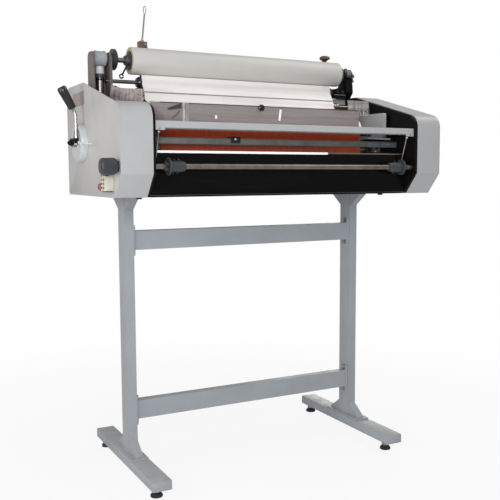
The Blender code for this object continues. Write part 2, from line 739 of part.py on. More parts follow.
def core_chuck(name, side, at_x, y, z, radii, lengths, material="dark_plastic"):
    """A chuck on a shaft: a flange towards the outside and a body that tapers to the middle."""
    bore = SHAFT_R + GAP
    flange_r, body_r, nose_r = radii
    flange_t, body_l, taper_l = lengths
    profile = [
        (bore, flange_t), (flange_r, flange_t), (flange_r, 0.0), (body_r, 0.0),
        (body_r, -body_l), (nose_r, -body_l - taper_l), (bore, -body_l - taper_l),
    ]
    turned(name, material, profile, (side * at_x, y, z), "-x" if side < 0 else "x")


def supply_shaft_set():
    """The supply shaft across the top, its brake disc, two cone chucks and the roll of film."""
    rod("supply_shaft", "steel", SHAFT_R, -0.4980, 0.4560, FILM_Y, FILM_Z)
    disc = [
        (SHAFT_R + GAP, 0.018), (0.020, 0.018), (0.020, 0.014), (0.032, 0.013),
        (0.032, 0.003), (0.028, 0.0), (SHAFT_R + GAP, 0.0),
    ]
    turned("brake_disc", "black_plastic", disc, (-0.4270, FILM_Y, FILM_Z), "-x")
    for side in (-1, 1):
        name = side_name("core_chuck", side)
        core_chuck(name, side, 0.3860, FILM_Y, FILM_Z, (0.0280, 0.0250, 0.0200), (0.012, 0.030, 0.008))
    cap = [
        (SHAFT_R + GAP, 0.020), (DRUM_R - 0.004, 0.020), (DRUM_R, 0.016),
        (DRUM_R, -0.016), (DRUM_R - 0.004, -0.020), (SHAFT_R + GAP, -0.020),
    ]
    turned("brake_drum", "aluminium", cap, (BRAKE_X, FILM_Y, FILM_Z), "x", 24)
    ring("film_roll", "film", FILM_R, CORE_BORE_R, -FILM_HALF, FILM_HALF, FILM_Y, FILM_Z, 40)


def brake_screw():
    """The vertical brake screw below the drum: a nylon pad, a threaded neck and a hexagon knob."""
    top = FILM_Z - DRUM_R - GAP
    base = BRACKET_LEFT_Z + BRACKET_WALL + GAP
    profile = [
        (0.0, top), (0.0130, top), (0.0130, top - 0.021), (0.0120, top - 0.022), (0.0120, top - 0.024),
        (0.0140, top - 0.024), (0.0140, top - 0.040), (0.0110, top - 0.041), (0.0110, base), (0.0060, base),
        (0.0060, BRACKET_LEFT_Z + 0.001), (0.0, BRACKET_LEFT_Z + 0.001),
    ]
    turned("brake_screw", "cream_plastic", profile, (BRAKE_X, FILM_Y, 0.0), "z", 20)


def idler(name, radius, y, z, collar_r, ends, half):
    """A free-running guide bar: a bar between two collars, on thin stub ends."""
    left, right = ends
    profile = [
        (0.0, right), (STUB_R, right), (STUB_R, half + 0.008), (collar_r, half + 0.008), (collar_r, half),
        (radius, half), (radius, -half), (collar_r, -half), (collar_r, -half - 0.008),
        (STUB_R, -half - 0.008), (STUB_R, left), (0.0, left),
    ]
    turned(name, "aluminium", profile, (0.0, y, z), "x", 20)


def film_web():
    """The film from under the roll to the nip, as a thin solid sheet that clears the bars and rollers."""
    over_idler = FILM_Y - IDLER_R - 0.0020
    over_guide = GUIDE_Y - GUIDE_R - 0.0020
    path = [
        (over_idler, FILM_Z - FILM_R - 0.0010), (over_idler, IDLER_Z), (over_guide, GUIDE_Z + 0.0040),
        (over_guide, GUIDE_Z - 0.0050), (-0.1000, 1.1400), (-0.1600, 1.1180), (-0.1720, 1.0980),
    ]
    folded_sheet("film_web", "film", path, -WEB_HALF, WEB_HALF, 0.0006)


def takeup():
    """The liner take-up at the back: a welded fork with a tie bar, and the shaft between its arms."""
    base = RIDGE_Z - 0.004 + GAP
    low = (TAKEUP_X[0] - 0.022, TAKEUP_Y - 0.016, base)
    fork = box("takeup_fork", "black_plate", low, (TAKEUP_X[1] + 0.010, TAKEUP_Y + 0.016, base + 0.010))
    for x in TAKEUP_X:
        corners = [
            (TAKEUP_Y - 0.015, base, 0.0), (TAKEUP_Y + 0.015, base, 0.0),
            (TAKEUP_Y + 0.012, TAKEUP_Z + 0.012, 0.010), (TAKEUP_Y - 0.012, TAKEUP_Z + 0.012, 0.010),
        ]
        boolean(fork, plate_yz("arm", None, rounded(corners), x - 0.006, x + 0.006), "UNION")
    for x in TAKEUP_X:
        boolean(fork, cutter_x(SHAFT_R + 0.0005, x - 0.02, x + 0.02, TAKEUP_Y, TAKEUP_Z), "DIFFERENCE")
    rod("takeup_shaft", "steel", SHAFT_R, TAKEUP_X[0] - 0.012, TAKEUP_X[1] + 0.012, TAKEUP_Y, TAKEUP_Z)


def wire_loop():
    """A long eye of twisted wire that stands in a clamp block on the left take-up arm."""
    x, y = TAKEUP_X[0], TAKEUP_Y
    base = TAKEUP_Z + 0.012 + GAP
    low = (x - 0.014, y - 0.010, base)
    clamp = box("wire_loop", "brass", low, (x + 0.014, y + 0.010, base + 0.020), 0.002)
    top = base + WIRE_RISE
    lean = 0.012
    left = []
    right = []
    steps = 8
    for step in range(steps + 1):
        t = step / steps
        half = 0.0016 + 0.0026 * math.sin(math.pi * t) ** 2 + 0.0012 * t
        centre = x + lean * t
        height = base + 0.018 + (top - base - 0.018) * t
        left.append((centre - half, y, height))
        right.append((centre + half, y, height))
    crown = [(x + lean - 0.0016, y, top + 0.0022), (x + lean + 0.0016, y, top + 0.0022)]
    wire = round_bar("wire", None, left + crown + right[::-1], 0.0012, 2)
    boolean(clamp, wire, "UNION")


# ---- lower front shaft -----------------------------------------------------------------------------------
def lower_front_shaft():
    rod("front_shaft", "steel", SHAFT_R, -0.5660, 0.4520, FRONT_SHAFT_Y, FRONT_SHAFT_Z)
    for side in (-1, 1):
        name = side_name("front_chuck", side)
        radii = (0.0245, 0.0155, 0.0125)
        core_chuck(name, side, 0.3960, FRONT_SHAFT_Y, FRONT_SHAFT_Z, radii, (0.004, 0.036, 0.011))
    face = -HEAD_HALF - GAP
    profile = [
        (0.0, 0.048), (0.0190, 0.048), (0.0220, 0.045), (0.0230, 0.012), (0.0200, 0.007), (0.0130, 0.006),
        (0.0130, 0.0), (SHAFT_R + GAP, 0.0), (SHAFT_R + GAP, 0.028), (0.0, 0.028),
    ]
    turned("tension_knob", "dark_plastic", profile, (face, FRONT_SHAFT_Y, FRONT_SHAFT_Z), "-x", 28)


# ---- front rails, guard and feed -------------------------------------------------------------------------
def front_rails():
    reach = PLATE_X - GAP
    beam = [
        (BEAM_FRONT + 0.008, BEAM_Z), (BEAM_FRONT, BEAM_Z), (BEAM_FRONT, BEAM_Z + BEAM_H),
        (BEAM_BACK, BEAM_Z + BEAM_H), (BEAM_BACK, BEAM_Z + 0.003),
    ]
    folded_sheet("guard_beam", "cover_grey", beam, -reach, reach)
    low = (-reach, BAR_Y - BAR_HALF, BAR_Z - BAR_HALF)
    box("feed_bar", "aluminium", low, (reach, BAR_Y + BAR_HALF, BAR_Z + BAR_HALF), 0.002)
    for side in (-1, 1):
        x = side * STAY_X
        ball = (x, -0.3180, BEAM_Z - 0.010)
        foot = (x, -0.2940, 0.9890)
        stay = round_bar(side_name("guard_stay", side), "steel", [ball, foot], 0.0022, 3)
        mesh = bpy.data.meshes.new("ball")
        bm = bmesh.new()
        bmesh.ops.create_uvsphere(bm, u_segments=12, v_segments=8, radius=0.0062)
        bm.to_mesh(mesh)
        bm.free()
        boolean(stay, place("ball", mesh, None, ball), "UNION")


def clear_guard():
    """The clear guard behind the beam, standing in a hinge rod along its lower edge."""
    y = BEAM_BACK + 0.014
    z = BEAM_Z + BEAM_H + 0.006
    x0, x1 = GUARD_X
    sheet = box("clear_guard", "clear", (x0, y - 0.0015, z), (x1, y + 0.0015, z + GUARD_H), 0.0005)
    profile = [(0.0, x1), (0.0040, x1), (0.0040, x0), (0.0, x0)]
    boolean(sheet, turned("hinge_rod", None, profile, (0.0, y, z), "x", 20), "UNION")


def edge_guide():
    """A small clip that slides along the feed bar and stops the sheet's edge."""
    x0, x1 = CLIP_X
    inside = BAR_HALF + GAP
    outside = inside + 0.005
    low = (x0, BAR_Y - outside, BAR_Z - 0.004)
    clip = box("edge_guide", "black_plastic", low, (x1, BAR_Y + outside, BAR_Z + inside + 0.004), 0.001)
    low = (x0 - 0.01, BAR_Y - inside, BAR_Z - 0.02)
    boolean(clip, box("channel", None, low, (x1 + 0.01, BAR_Y + inside, BAR_Z + inside)), "DIFFERENCE")


# ---- electrical pieces on the left cover -----------------------------------------------------------------
def controls():
    """A push button and a round power inlet, both through the left cover."""
    face = HEAD_HALF + GAP
    button = [
        (0.0, face + 0.009), (0.0070, face + 0.009), (BUTTON_R, face + 0.007), (BUTTON_R, face - 0.016),
        (0.0, face - 0.016),
    ]
    turned("start_button", "red_plastic", button, (0.0, BUTTON_Y, BUTTON_Z), "-x", 24)
    inlet = [
        (0.0, face + 0.004), (0.0080, face + 0.004), (0.0080, face + 0.010), (0.0120, face + 0.010),
        (0.0160, face + 0.008), (0.0160, face), (INLET_R, face), (INLET_R, face - 0.020),
        (0.0, face - 0.020),
    ]
    turned("power_inlet", "cream_plastic", inlet, (0.0, INLET_Y, INLET_Z), "-x", 28)


def build_shafts():
    supply_bracket_left()
    supply_bracket_right()
    supply_shaft_set()
    brake_screw()
    idler("roll_idler", IDLER_R, FILM_Y, IDLER_Z, 0.0170, (-0.4600, 0.4300), IDLER_HALF)
    idler("guide_bar", GUIDE_R, GUIDE_Y, GUIDE_Z, 0.0135, (-0.4450, 0.4450), GUIDE_HALF)
    film_web()
    takeup()
    wire_loop()
    lower_front_shaft()


build_stand()
build_head()
build_nip()
build_pressure_control()
build_drive()
build_shafts()
front_rails()
clear_guard()
edge_guide()
controls()
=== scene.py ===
"""Looks of the cold roll laminator: camera, light, materials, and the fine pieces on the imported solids.

X runs along the rollers, to the operator's right. Y runs to the back. Z is up, and the floor is Z = 0.
"""
import json
import math
import random

import bmesh
import bpy
from mathutils import Matrix, Vector, noise

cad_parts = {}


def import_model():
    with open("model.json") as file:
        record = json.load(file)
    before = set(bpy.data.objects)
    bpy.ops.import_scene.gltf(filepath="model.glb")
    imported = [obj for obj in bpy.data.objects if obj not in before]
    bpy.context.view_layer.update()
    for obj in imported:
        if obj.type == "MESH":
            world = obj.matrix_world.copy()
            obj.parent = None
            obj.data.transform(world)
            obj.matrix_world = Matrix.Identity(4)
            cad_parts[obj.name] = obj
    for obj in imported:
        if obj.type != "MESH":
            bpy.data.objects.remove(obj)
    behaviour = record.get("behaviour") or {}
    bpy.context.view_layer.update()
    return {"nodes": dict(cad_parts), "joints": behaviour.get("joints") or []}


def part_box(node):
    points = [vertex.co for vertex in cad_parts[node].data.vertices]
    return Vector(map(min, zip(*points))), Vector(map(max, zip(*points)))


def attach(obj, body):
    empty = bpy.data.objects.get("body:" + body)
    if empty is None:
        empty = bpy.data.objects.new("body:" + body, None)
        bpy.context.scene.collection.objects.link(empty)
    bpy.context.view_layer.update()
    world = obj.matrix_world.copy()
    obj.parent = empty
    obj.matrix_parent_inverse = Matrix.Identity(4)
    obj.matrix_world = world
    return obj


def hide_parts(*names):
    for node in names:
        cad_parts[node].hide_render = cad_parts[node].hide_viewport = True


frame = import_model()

NODES = frame["nodes"]
PIVOTS = {j["name"]: Vector(j["pos_m"]) for j in frame["joints"] if "pos_m" in j}
X, Y, Z = Vector((1, 0, 0)), Vector((0, 1, 0)), Vector((0, 0, 1))


# ---- where things are ------------------------------------------------------------------------------------
def middle(node):
    low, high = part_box(node)
    return (low + high) / 2


DESIGN = Vector((middle("front_panel").x, middle("post_left").y, 0.0))


def at(x, y, z):
    """A point from the machine's middle plane, the posts' centre and the floor."""
    return DESIGN + Vector((x, y, z))


def x_at(x):
    return at(x, 0.0, 0.0).x


def mm(*pairs):
    """A turned profile in millimetres: pairs of radius and distance along the axis."""
    return [(radius * 0.001, along * 0.001) for radius, along in pairs]


def ribbed(count, depth, width, beyond):
    """Ribs round a grip, as turn's shape: count of them, depth as a share of the radius, past a radius."""
    return lambda angle, radius: 1.0 - depth * (math.cos(angle * count) > width) * (radius > beyond)


def near(corner, x, y, z):
    """A point so many millimetres from corner."""
    return Vector(corner) + Vector((x, y, z)) * 0.001


def fill(node, **values):
    """Set a shader node's inputs by name, with _ for a space."""
    for socket, value in values.items():
        node.inputs[socket.replace("_", " ")].default_value = value


def radial(angle):
    """The direction across X at an angle in radians, from Y towards Z."""
    return Vector((0.0, math.cos(angle), math.sin(angle)))


def show(obj):
    bpy.context.scene.collection.objects.link(obj)


def ease_edges(obj, width, segments, angle):
    """Round every edge that is sharper than angle, in degrees."""
    ease = obj.modifiers.new("eased_edges", "BEVEL")
    ease.width = width
    ease.segments = segments
    ease.limit_method = "ANGLE"
    ease.angle_limit = math.radians(angle)


# ---- camera, light and floor -----------------------------------------------------------------------------
def camera():
    """The photo's view: a normal lens, a little to the left of the machine and below its top."""
    data = bpy.data.cameras.new("camera")
    data.sensor_width = 36.0
    data.lens = 56.27
    data.shift_x = -0.0387
    data.shift_y = 0.0064
    data.clip_end = 200.0
    eye = bpy.data.objects.new("camera", data)
    eye.location = (-1.145, -2.305, 0.9435)
    eye.rotation_euler = (math.radians(84.2), math.radians(0.118), math.radians(-28.536))
    show(eye)
    bpy.context.scene.camera = eye


def softbox(name, place, target, size, power, colour):
    data = bpy.data.lights.new(name, "AREA")
    data.shape = "RECTANGLE"
    data.size, data.size_y = size
    data.energy = power
    data.color = colour
    lamp = bpy.data.objects.new(name, data)
    lamp.location = place
    lamp.visible_camera = False
    lamp.rotation_euler = (Vector(target) - Vector(place)).to_track_quat("-Z", "Y").to_euler()
    show(lamp)


def world():
    """White to the camera, bright in reflections, and a dimmer light on everything."""
    sky = bpy.data.worlds.new("studio")
    bpy.context.scene.world = sky
    sky.use_nodes = True
    tree = sky.node_tree
    add, link = tree.nodes.new, tree.links.new
    dim = tree.nodes["Background"]
    fill(dim, Color=(1.0, 0.985, 0.965, 1.0), Strength=0.3)
    bright = add("ShaderNodeBackground")
    fill(bright, Color=(1.0, 1.0, 1.0, 1.0))
    wall = add("ShaderNodeBackground")
    fill(wall, Strength=0.62)
    path = add("ShaderNodeLightPath")
    shiny = add("ShaderNodeMixShader")
    link(path.outputs["Is Glossy Ray"], shiny.inputs["Fac"])
    link(dim.outputs["Background"], shiny.inputs[1])
    link(wall.outputs["Background"], shiny.inputs[2])
    mix = add("ShaderNodeMixShader")
    link(path.outputs["Is Camera Ray"], mix.inputs["Fac"])
    link(shiny.outputs["Shader"], mix.inputs[1])
    link(bright.outputs["Background"], mix.inputs[2])
    link(mix.outputs["Shader"], tree.nodes["World Output"].inputs["Surface"])


def floor():
    """A pale floor that fades to white far from the machine, so that no horizon shows."""
    mesh = bpy.data.meshes.new("floor")
    bm = bmesh.new()
    bmesh.ops.create_circle(bm, cap_ends=True, segments=96, radius=60.0)
    bm.to_mesh(mesh)
    bm.free()
    ground = bpy.data.objects.new("floor", mesh)
    show(ground)
    ground.location.z = -0.0005
    material = bpy.data.materials.new("floor")
    material.use_nodes = True
    tree = material.node_tree
    add, link = tree.nodes.new, tree.links.new
    shader = tree.nodes["Principled BSDF"]
    fill(shader, Base_Color=(0.86, 0.86, 0.86, 1.0), Roughness=0.9)
    glow = add("ShaderNodeEmission")
    coordinates = add("ShaderNodeTexCoord")
    length = add("ShaderNodeVectorMath")
    length.operation = "LENGTH"
    fade = add("ShaderNodeMapRange")
    fade.interpolation_type = "SMOOTHSTEP"
    fill(fade, From_Min=0.5, From_Max=2.4, To_Min=0.88)
    path = add("ShaderNodeLightPath")
    seen = add("ShaderNodeMath")
    seen.operation = "MULTIPLY"
    mix = add("ShaderNodeMixShader")
    link(coordinates.outputs["Object"], length.inputs[0])
    link(length.outputs["Value"], fade.inputs["Value"])
    link(fade.outputs["Result"], seen.inputs[0])
    link(path.outputs["Is Camera Ray"], seen.inputs[1])
    link(seen.outputs["Value"], mix.inputs["Fac"])
    link(shader.outputs["BSDF"], mix.inputs[1])
    link(glow.outputs["Emission"], mix.inputs[2])
    link(mix.outputs["Shader"], tree.nodes["Material Output"].inputs["Surface"])
    mesh.materials.append(material)


def studio():
    camera()
    world()
    floor()
    head = (0.0, 0.0, 1.05)
    softbox("key", (-1.35, -2.5, 1.35), head, (0.9, 0.9), 41.0, (0.9, 0.95, 1.0))
    softbox("left_fill", (-1.8, -0.4, 1.02), (-0.5, 0.0, 1.02), (0.9, 0.9), 10.5, (1.0, 0.93, 0.87))
    softbox("top", (1.1, -0.3, 2.6), (0.4, 0.0, 1.1), (1.3, 1.3), 12.0, (1.0, 0.985, 0.97))
    softbox("rear", (2.4, 2.6, 0.9), head, (1.5, 1.5), 26.0, (1.0, 0.99, 0.98))
    view = bpy.context.scene.view_settings
    view.view_transform = "Standard"
    view.look = "None"


# ---- materials -------------------------------------------------------------------------------------------
class Finish:
    """A procedural material: a Principled shader and the nodes that feed it, in the object's own metres."""

    def __init__(self, name, colour, roughness, metallic=0.0, **sockets):
        self.material = bpy.data.materials.new(name)
        self.material.use_nodes = True
        self.tree = self.material.node_tree
        self.shader = self.tree.nodes["Principled BSDF"]
        self.set("Base Color", (*colour, 1.0))
        self.set("Roughness", roughness)
        self.set("Metallic", metallic)
        for socket, value in sockets.items():
            self.set(socket.replace("_", " "), value)
        self.colour = colour
        self.place = self.node("ShaderNodeTexCoord").outputs["Object"]
        self.normal = None

    def node(self, kind, **settings):
        made = self.tree.nodes.new(kind)
        for key, value in settings.items():
            setattr(made, key, value)
        return made

    def join(self, source, target):
        if isinstance(source, bpy.types.NodeSocket):
            self.tree.links.new(source, target)
        else:
            target.default_value = source

    def set(self, socket, value):
        self.join(value, self.shader.inputs[socket])

    def stretched(self, stretch):
        mapping = self.node("ShaderNodeMapping")
        fill(mapping, Scale=stretch)
        self.join(self.place, mapping.inputs["Vector"])
        return mapping.outputs["Vector"]

    def noise(self, scale, detail=3.0, rough=0.55, stretch=None, distortion=0.0):
        made = self.node("ShaderNodeTexNoise")
        fill(made, Scale=scale, Detail=detail, Roughness=rough, Distortion=distortion)
        self.join(self.stretched(stretch) if stretch else self.place, made.inputs["Vector"])
        return made.outputs["Fac"]

    def remap(self, value, low, high, to_low=0.0, to_high=1.0):
        made = self.node("ShaderNodeMapRange")
        self.join(value, made.inputs["Value"])
        limits = {"From Min": low, "From Max": high, "To Min": to_low, "To Max": to_high}
        for socket, number in limits.items():
            made.inputs[socket].default_value = number
        return made.outputs["Result"]

    def vary(self, value, low, high, darker, lighter):
        """The colour, darker where value is at low and lighter where it is at high."""
        return self.mix(self.remap(value, low, high), shade(self.colour, darker),
                        shade(self.colour, lighter))

    def math(self, operation, a, b):
        made = self.node("ShaderNodeMath", operation=operation)
        self.join(a, made.inputs[0])
        self.join(b, made.inputs[1])
        return made.outputs["Value"]

    def mix(self, factor, a, b):
        made = self.node("ShaderNodeMix", data_type="RGBA")
        self.join(factor, made.inputs[0])
        for value, index in ((a, 6), (b, 7)):
            self.join((*value, 1.0) if isinstance(value, tuple) else value, made.inputs[index])
        return made.outputs[2]

    def edges(self, radius=0.0015):
        """1 along worn outer edges, 0 on flats."""
        worn = self.node("ShaderNodeBevel", samples=4)
        fill(worn, Radius=radius)
        flat = self.node("ShaderNodeNewGeometry")
        dot = self.node("ShaderNodeVectorMath", operation="DOT_PRODUCT")
        self.join(worn.outputs["Normal"], dot.inputs[0])
        self.join(flat.outputs["Normal"], dot.inputs[1])
        return self.remap(dot.outputs["Value"], 0.985, 0.88)

    def upward(self, low=0.6, high=0.95):
        """1 on faces that look up, where dust lies."""
        flat = self.node("ShaderNodeNewGeometry")
        parts = self.node("ShaderNodeSeparateXYZ")
        self.join(flat.outputs["Normal"], parts.inputs["Vector"])
        return self.remap(parts.outputs["Z"], low, high)

    def bump(self, height, strength, distance):
        made = self.node("ShaderNodeBump")
        fill(made, Strength=strength, Distance=distance)
        self.join(height, made.inputs["Height"])
        if self.normal is not None:
            self.join(self.normal, made.inputs["Normal"])
        self.normal = made.outputs["Normal"]
        self.set("Normal", self.normal)


def shade(colour, factor):
    return tuple(min(1.0, c * factor) for c in colour)


def painted(name, colour, roughness, grain, worn=(0.3, 0.3, 0.3), dusty=0.25, coat=0.0, specular=0.5):
    """Powder coat or enamel: fine orange peel, faint clouds, scuffed edges, dust on top."""
    paint = Finish(name, colour, roughness, Coat_Weight=coat, Coat_Roughness=0.22,
                   Specular_IOR_Level=specular)
    clouds = paint.noise(6.0, 4.0, 0.6)
    tone = paint.vary(clouds, 0.35, 0.65, 0.95, 1.04)
    specks = paint.remap(paint.noise(420.0, 2.0, 0.7), 0.6, 0.72, 0.0, 0.25)
    tone = paint.mix(specks, tone, shade(colour, 0.8))
    lying = paint.remap(paint.noise(28.0, 5.0, 0.7), 0.4, 0.72, 0.0, dusty)
    dust = paint.math("MULTIPLY", paint.upward(), lying)
    tone = paint.mix(dust, tone, (0.62, 0.58, 0.52))
    chips = paint.math("MULTIPLY", paint.edges(), paint.remap(paint.noise(75.0, 4.0, 0.7), 0.48, 0.66))
    tone = paint.mix(paint.math("MULTIPLY", chips, 0.55), tone, worn)
    paint.set("Base Color", tone)
    smears = paint.noise(14.0, 5.0, 0.65, (1.0, 1.0, 0.5))
    smears = paint.remap(smears, 0.35, 0.7, roughness - 0.05, roughness + 0.12)
    paint.set("Roughness", paint.math("ADD", smears, paint.math("MULTIPLY", dust, 0.4)))
    paint.bump(paint.noise(grain, 2.0, 0.5), 0.35, 0.0004)
    return paint.material


def machined(name, colour, roughness, lines=(2.0, 300.0, 300.0), metallic=1.0, tarnish=0.12):
    """Turned or drawn metal: tool marks across the axis, darker patches, small roughness changes."""
    metal = Finish(name, colour, roughness, metallic)
    marks = metal.noise(2.0, 3.0, 0.6, lines)
    stains = metal.noise(22.0, 5.0, 0.65)
    tone = metal.mix(metal.remap(stains, 0.42, 0.68, 0.0, 1.0), colour, shade(colour, 1.0 - 2 * tarnish))
    tone = metal.mix(metal.remap(marks, 0.35, 0.65, 0.0, 0.3), tone, shade(colour, 0.72))
    metal.set("Base Color", tone)
    metal.set("Roughness", metal.remap(marks, 0.3, 0.7, roughness - 0.07, roughness + 0.13))
    metal.bump(marks, 0.25, 0.0002)
    return metal.material


def moulded(name, colour, roughness, grain=700.0, coat=0.0):
    """Moulded plastic: a fine spark-eroded grain, rubbed edges, finger grease."""
    plastic = Finish(name, colour, roughness, Coat_Weight=coat, Coat_Roughness=0.15)
    patches = plastic.remap(plastic.noise(90.0), 0.4, 0.62, 0.0, 0.5)
    rubbed = plastic.math("MULTIPLY", plastic.edges(0.001), patches)
    tone = plastic.vary(plastic.noise(18.0, 4.0), 0.35, 0.65, 0.88, 1.12)
    plastic.set("Base Color", plastic.mix(rubbed, tone, shade(colour, 1.9)))
    grease = plastic.remap(plastic.noise(35.0, 4.0, 0.6), 0.4, 0.68, roughness - 0.08, roughness + 0.1)
    plastic.set("Roughness", grease)
    plastic.bump(plastic.noise(grain, 2.0), 0.3, 0.0003)
    return plastic.material


def silicone(name, colour):
    """Orange-red silicone: matt, with chalky streaks round the roller and lint."""
    rubber = Finish(name, colour, 0.5, Specular_IOR_Level=0.35)
    streaks = rubber.noise(3.0, 5.0, 0.65, (60.0, 1.0, 1.0))
    tone = rubber.vary(streaks, 0.38, 0.66, 0.9, 1.1)
    lint = rubber.remap(rubber.noise(260.0, 2.0, 0.8), 0.66, 0.76, 0.0, 0.2)
    rubber.set("Base Color", rubber.mix(lint, tone, (0.75, 0.38, 0.28)))
    rubber.set("Roughness", rubber.remap(streaks, 0.3, 0.7, 0.42, 0.62))
    rubber.bump(rubber.noise(500.0, 2.0), 0.25, 0.0003)
    return rubber.material


def black_rubber():
    colour = (0.014, 0.014, 0.015)
    rubber = Finish("black_rubber", colour, 0.75)
    dust = rubber.remap(rubber.noise(60.0, 5.0, 0.7), 0.45, 0.72, 0.0, 0.4)
    rubber.set("Base Color", rubber.mix(dust, colour, (0.1, 0.095, 0.09)))
    rubber.set("Roughness", rubber.remap(rubber.noise(45.0), 0.35, 0.65, 0.62, 0.88))
    rubber.bump(rubber.noise(520.0, 3.0), 0.4, 0.0004)
    return rubber.material


def gloss_black():
    """The front panel: glossy black with dust, hairline scratches and wiped streaks."""
    colour = (0.004, 0.0037, 0.0043)
    panel = Finish("gloss_black", colour, 0.12, Specular_IOR_Level=0.1)
    dust = panel.remap(panel.noise(300.0, 3.0, 0.75), 0.62, 0.78, 0.0, 0.03)
    scratch = panel.remap(panel.noise(4.0, 2.0, 0.5, (1.0, 40.0, 260.0)), 0.69, 0.72, 0.0, 0.1)
    tone = panel.mix(dust, colour, (0.2, 0.19, 0.19))
    panel.set("Base Color", panel.mix(scratch, tone, (0.16, 0.155, 0.155)))
    wiped = panel.noise(5.0, 5.0, 0.6, (1.0, 1.0, 3.5), 0.6)
    panel.set("Roughness", panel.remap(wiped, 0.3, 0.7, 0.07, 0.24))
    panel.bump(panel.noise(9.0, 2.0), 0.06, 0.002)
    return panel.material


def film_layers():
    """Wound film: milky and satin, with bands round the roll and faint wrap edges along it."""
    colour = (0.665, 0.65, 0.615)
    film = Finish("film_layers", colour, 0.38, Coat_Weight=0.05, Specular_IOR_Level=0.22,
                  Subsurface_Weight=0.15)
    film.set("Subsurface Radius", (0.01, 0.01, 0.008))
    bands = film.noise(3.0, 2.0, 0.5, (5.0, 0.6, 0.6))
    tone = film.vary(bands, 0.35, 0.66, 0.985, 1.015)
    wraps = film.remap(film.noise(5.0, 3.0, 0.5, (0.5, 9.0, 9.0)), 0.35, 0.7, 0.0, 0.35)
    film.set("Base Color", film.mix(wraps, tone, (0.6, 0.595, 0.585)))
    film.set("Roughness", film.remap(bands, 0.3, 0.7, 0.3, 0.38))
    film.bump(film.noise(4.0, 2.0, 0.5, (1.0, 12.0, 12.0)), 0.12, 0.001)
    return film.material


def roll_end():
    """The ends of the roll's layers, yellow-green with fine rings."""
    colour = (0.5, 0.51, 0.3)
    end = Finish("roll_end", colour, 0.4)
    rings = end.node("ShaderNodeTexWave", wave_type="RINGS", rings_direction="X")
    fill(rings, Scale=240.0, Distortion=2.0)
    end.join(end.place, rings.inputs["Vector"])
    end.set("Base Color", end.mix(rings.outputs["Fac"], shade(colour, 0.85), shade(colour, 1.15)))
    end.set("Roughness", end.remap(end.noise(60.0), 0.35, 0.65, 0.32, 0.5))
    end.bump(rings.outputs["Fac"], 0.35, 0.0003)
    return end.material


def web_film():
    """Film under tension: nearly clear, milky, with soft ripples across it, and a faint painted glow that
    makes it look brightly lit.
    """
    colour = (0.9, 0.85, 0.825)
    # The emission is painted light: the film glows a little so that it looks brightly lit.
    film = Finish("web_film", colour, 0.24, Coat_Weight=0.4, Coat_Roughness=0.12, Emission_Strength=0.11)
    film.set("Emission Color", (1.0, 0.95, 0.92, 1.0))
    ripples = film.noise(2.2, 4.0, 0.55, (1.0, 6.0, 6.0), 0.4)
    tone = film.vary(ripples, 0.35, 0.68, 0.93, 1.06)
    film.set("Base Color", tone)
    film.set("Roughness", film.remap(ripples, 0.3, 0.7, 0.16, 0.3))
    film.set("Alpha", film.remap(ripples, 0.3, 0.72, 0.88, 0.97))
    film.bump(ripples, 0.35, 0.004)
    return film.material


def clear_acrylic(name="clear_acrylic", alpha=(0.62, 0.84), wrinkle=0.0, tint=(0.325, 0.27, 0.262)):
    """Clear sheet with a smoky tint and wipe marks. Unwrinkled, it has bright cut edges."""
    sheet = Finish(name, tint, 0.06, Coat_Weight=0.4, Coat_Roughness=0.03)
    wiped = sheet.noise(7.0, 5.0, 0.6, (0.3, 1.0, 6.0), 0.1)
    tone = sheet.vary(wiped, 0.35, 0.7, 0.85, 1.4)
    if not wrinkle:
        tone = sheet.mix(sheet.edges(0.0012), tone, (0.46, 0.45, 0.44))
    sheet.set("Base Color", tone)
    sheet.set("Roughness", sheet.remap(wiped, 0.3, 0.7, 0.04, 0.18))
    sheet.set("Alpha", sheet.remap(wiped, 0.32, 0.7, *alpha))
    if wrinkle:
        sheet.bump(sheet.noise(38.0, 4.0, 0.6, None, 1.2), wrinkle, 0.006)
    return sheet.material


def brown_card():
    colour = (0.3, 0.2, 0.13)
    card = Finish("brown_card", colour, 0.85)
    fibres = card.noise(240.0, 4.0, 0.7, (1.0, 0.3, 0.3))
    card.set("Base Color", card.vary(fibres, 0.35, 0.65, 0.75, 1.25))
    card.set("Roughness", card.remap(fibres, 0.3, 0.7, 0.78, 0.92))
    card.bump(fibres, 0.4, 0.0004)
    return card.material


def ink(name, colour, glow=0.0):
    """Printed or taped marks: slightly uneven, satin. A glow above zero is painted light, for marks that
    stand in for highlights.
    """
    mark = Finish(name, colour, 0.45, Emission_Strength=glow)
    mark.set("Emission Color", (*colour, 1.0))
    patchy = mark.noise(190.0, 3.0, 0.7)
    mark.set("Base Color", mark.vary(patchy, 0.35, 0.7, 0.85, 1.08))
    mark.set("Roughness", mark.remap(patchy, 0.3, 0.7, 0.38, 0.58))
    mark.bump(patchy, 0.2, 0.0002)
    return mark.material


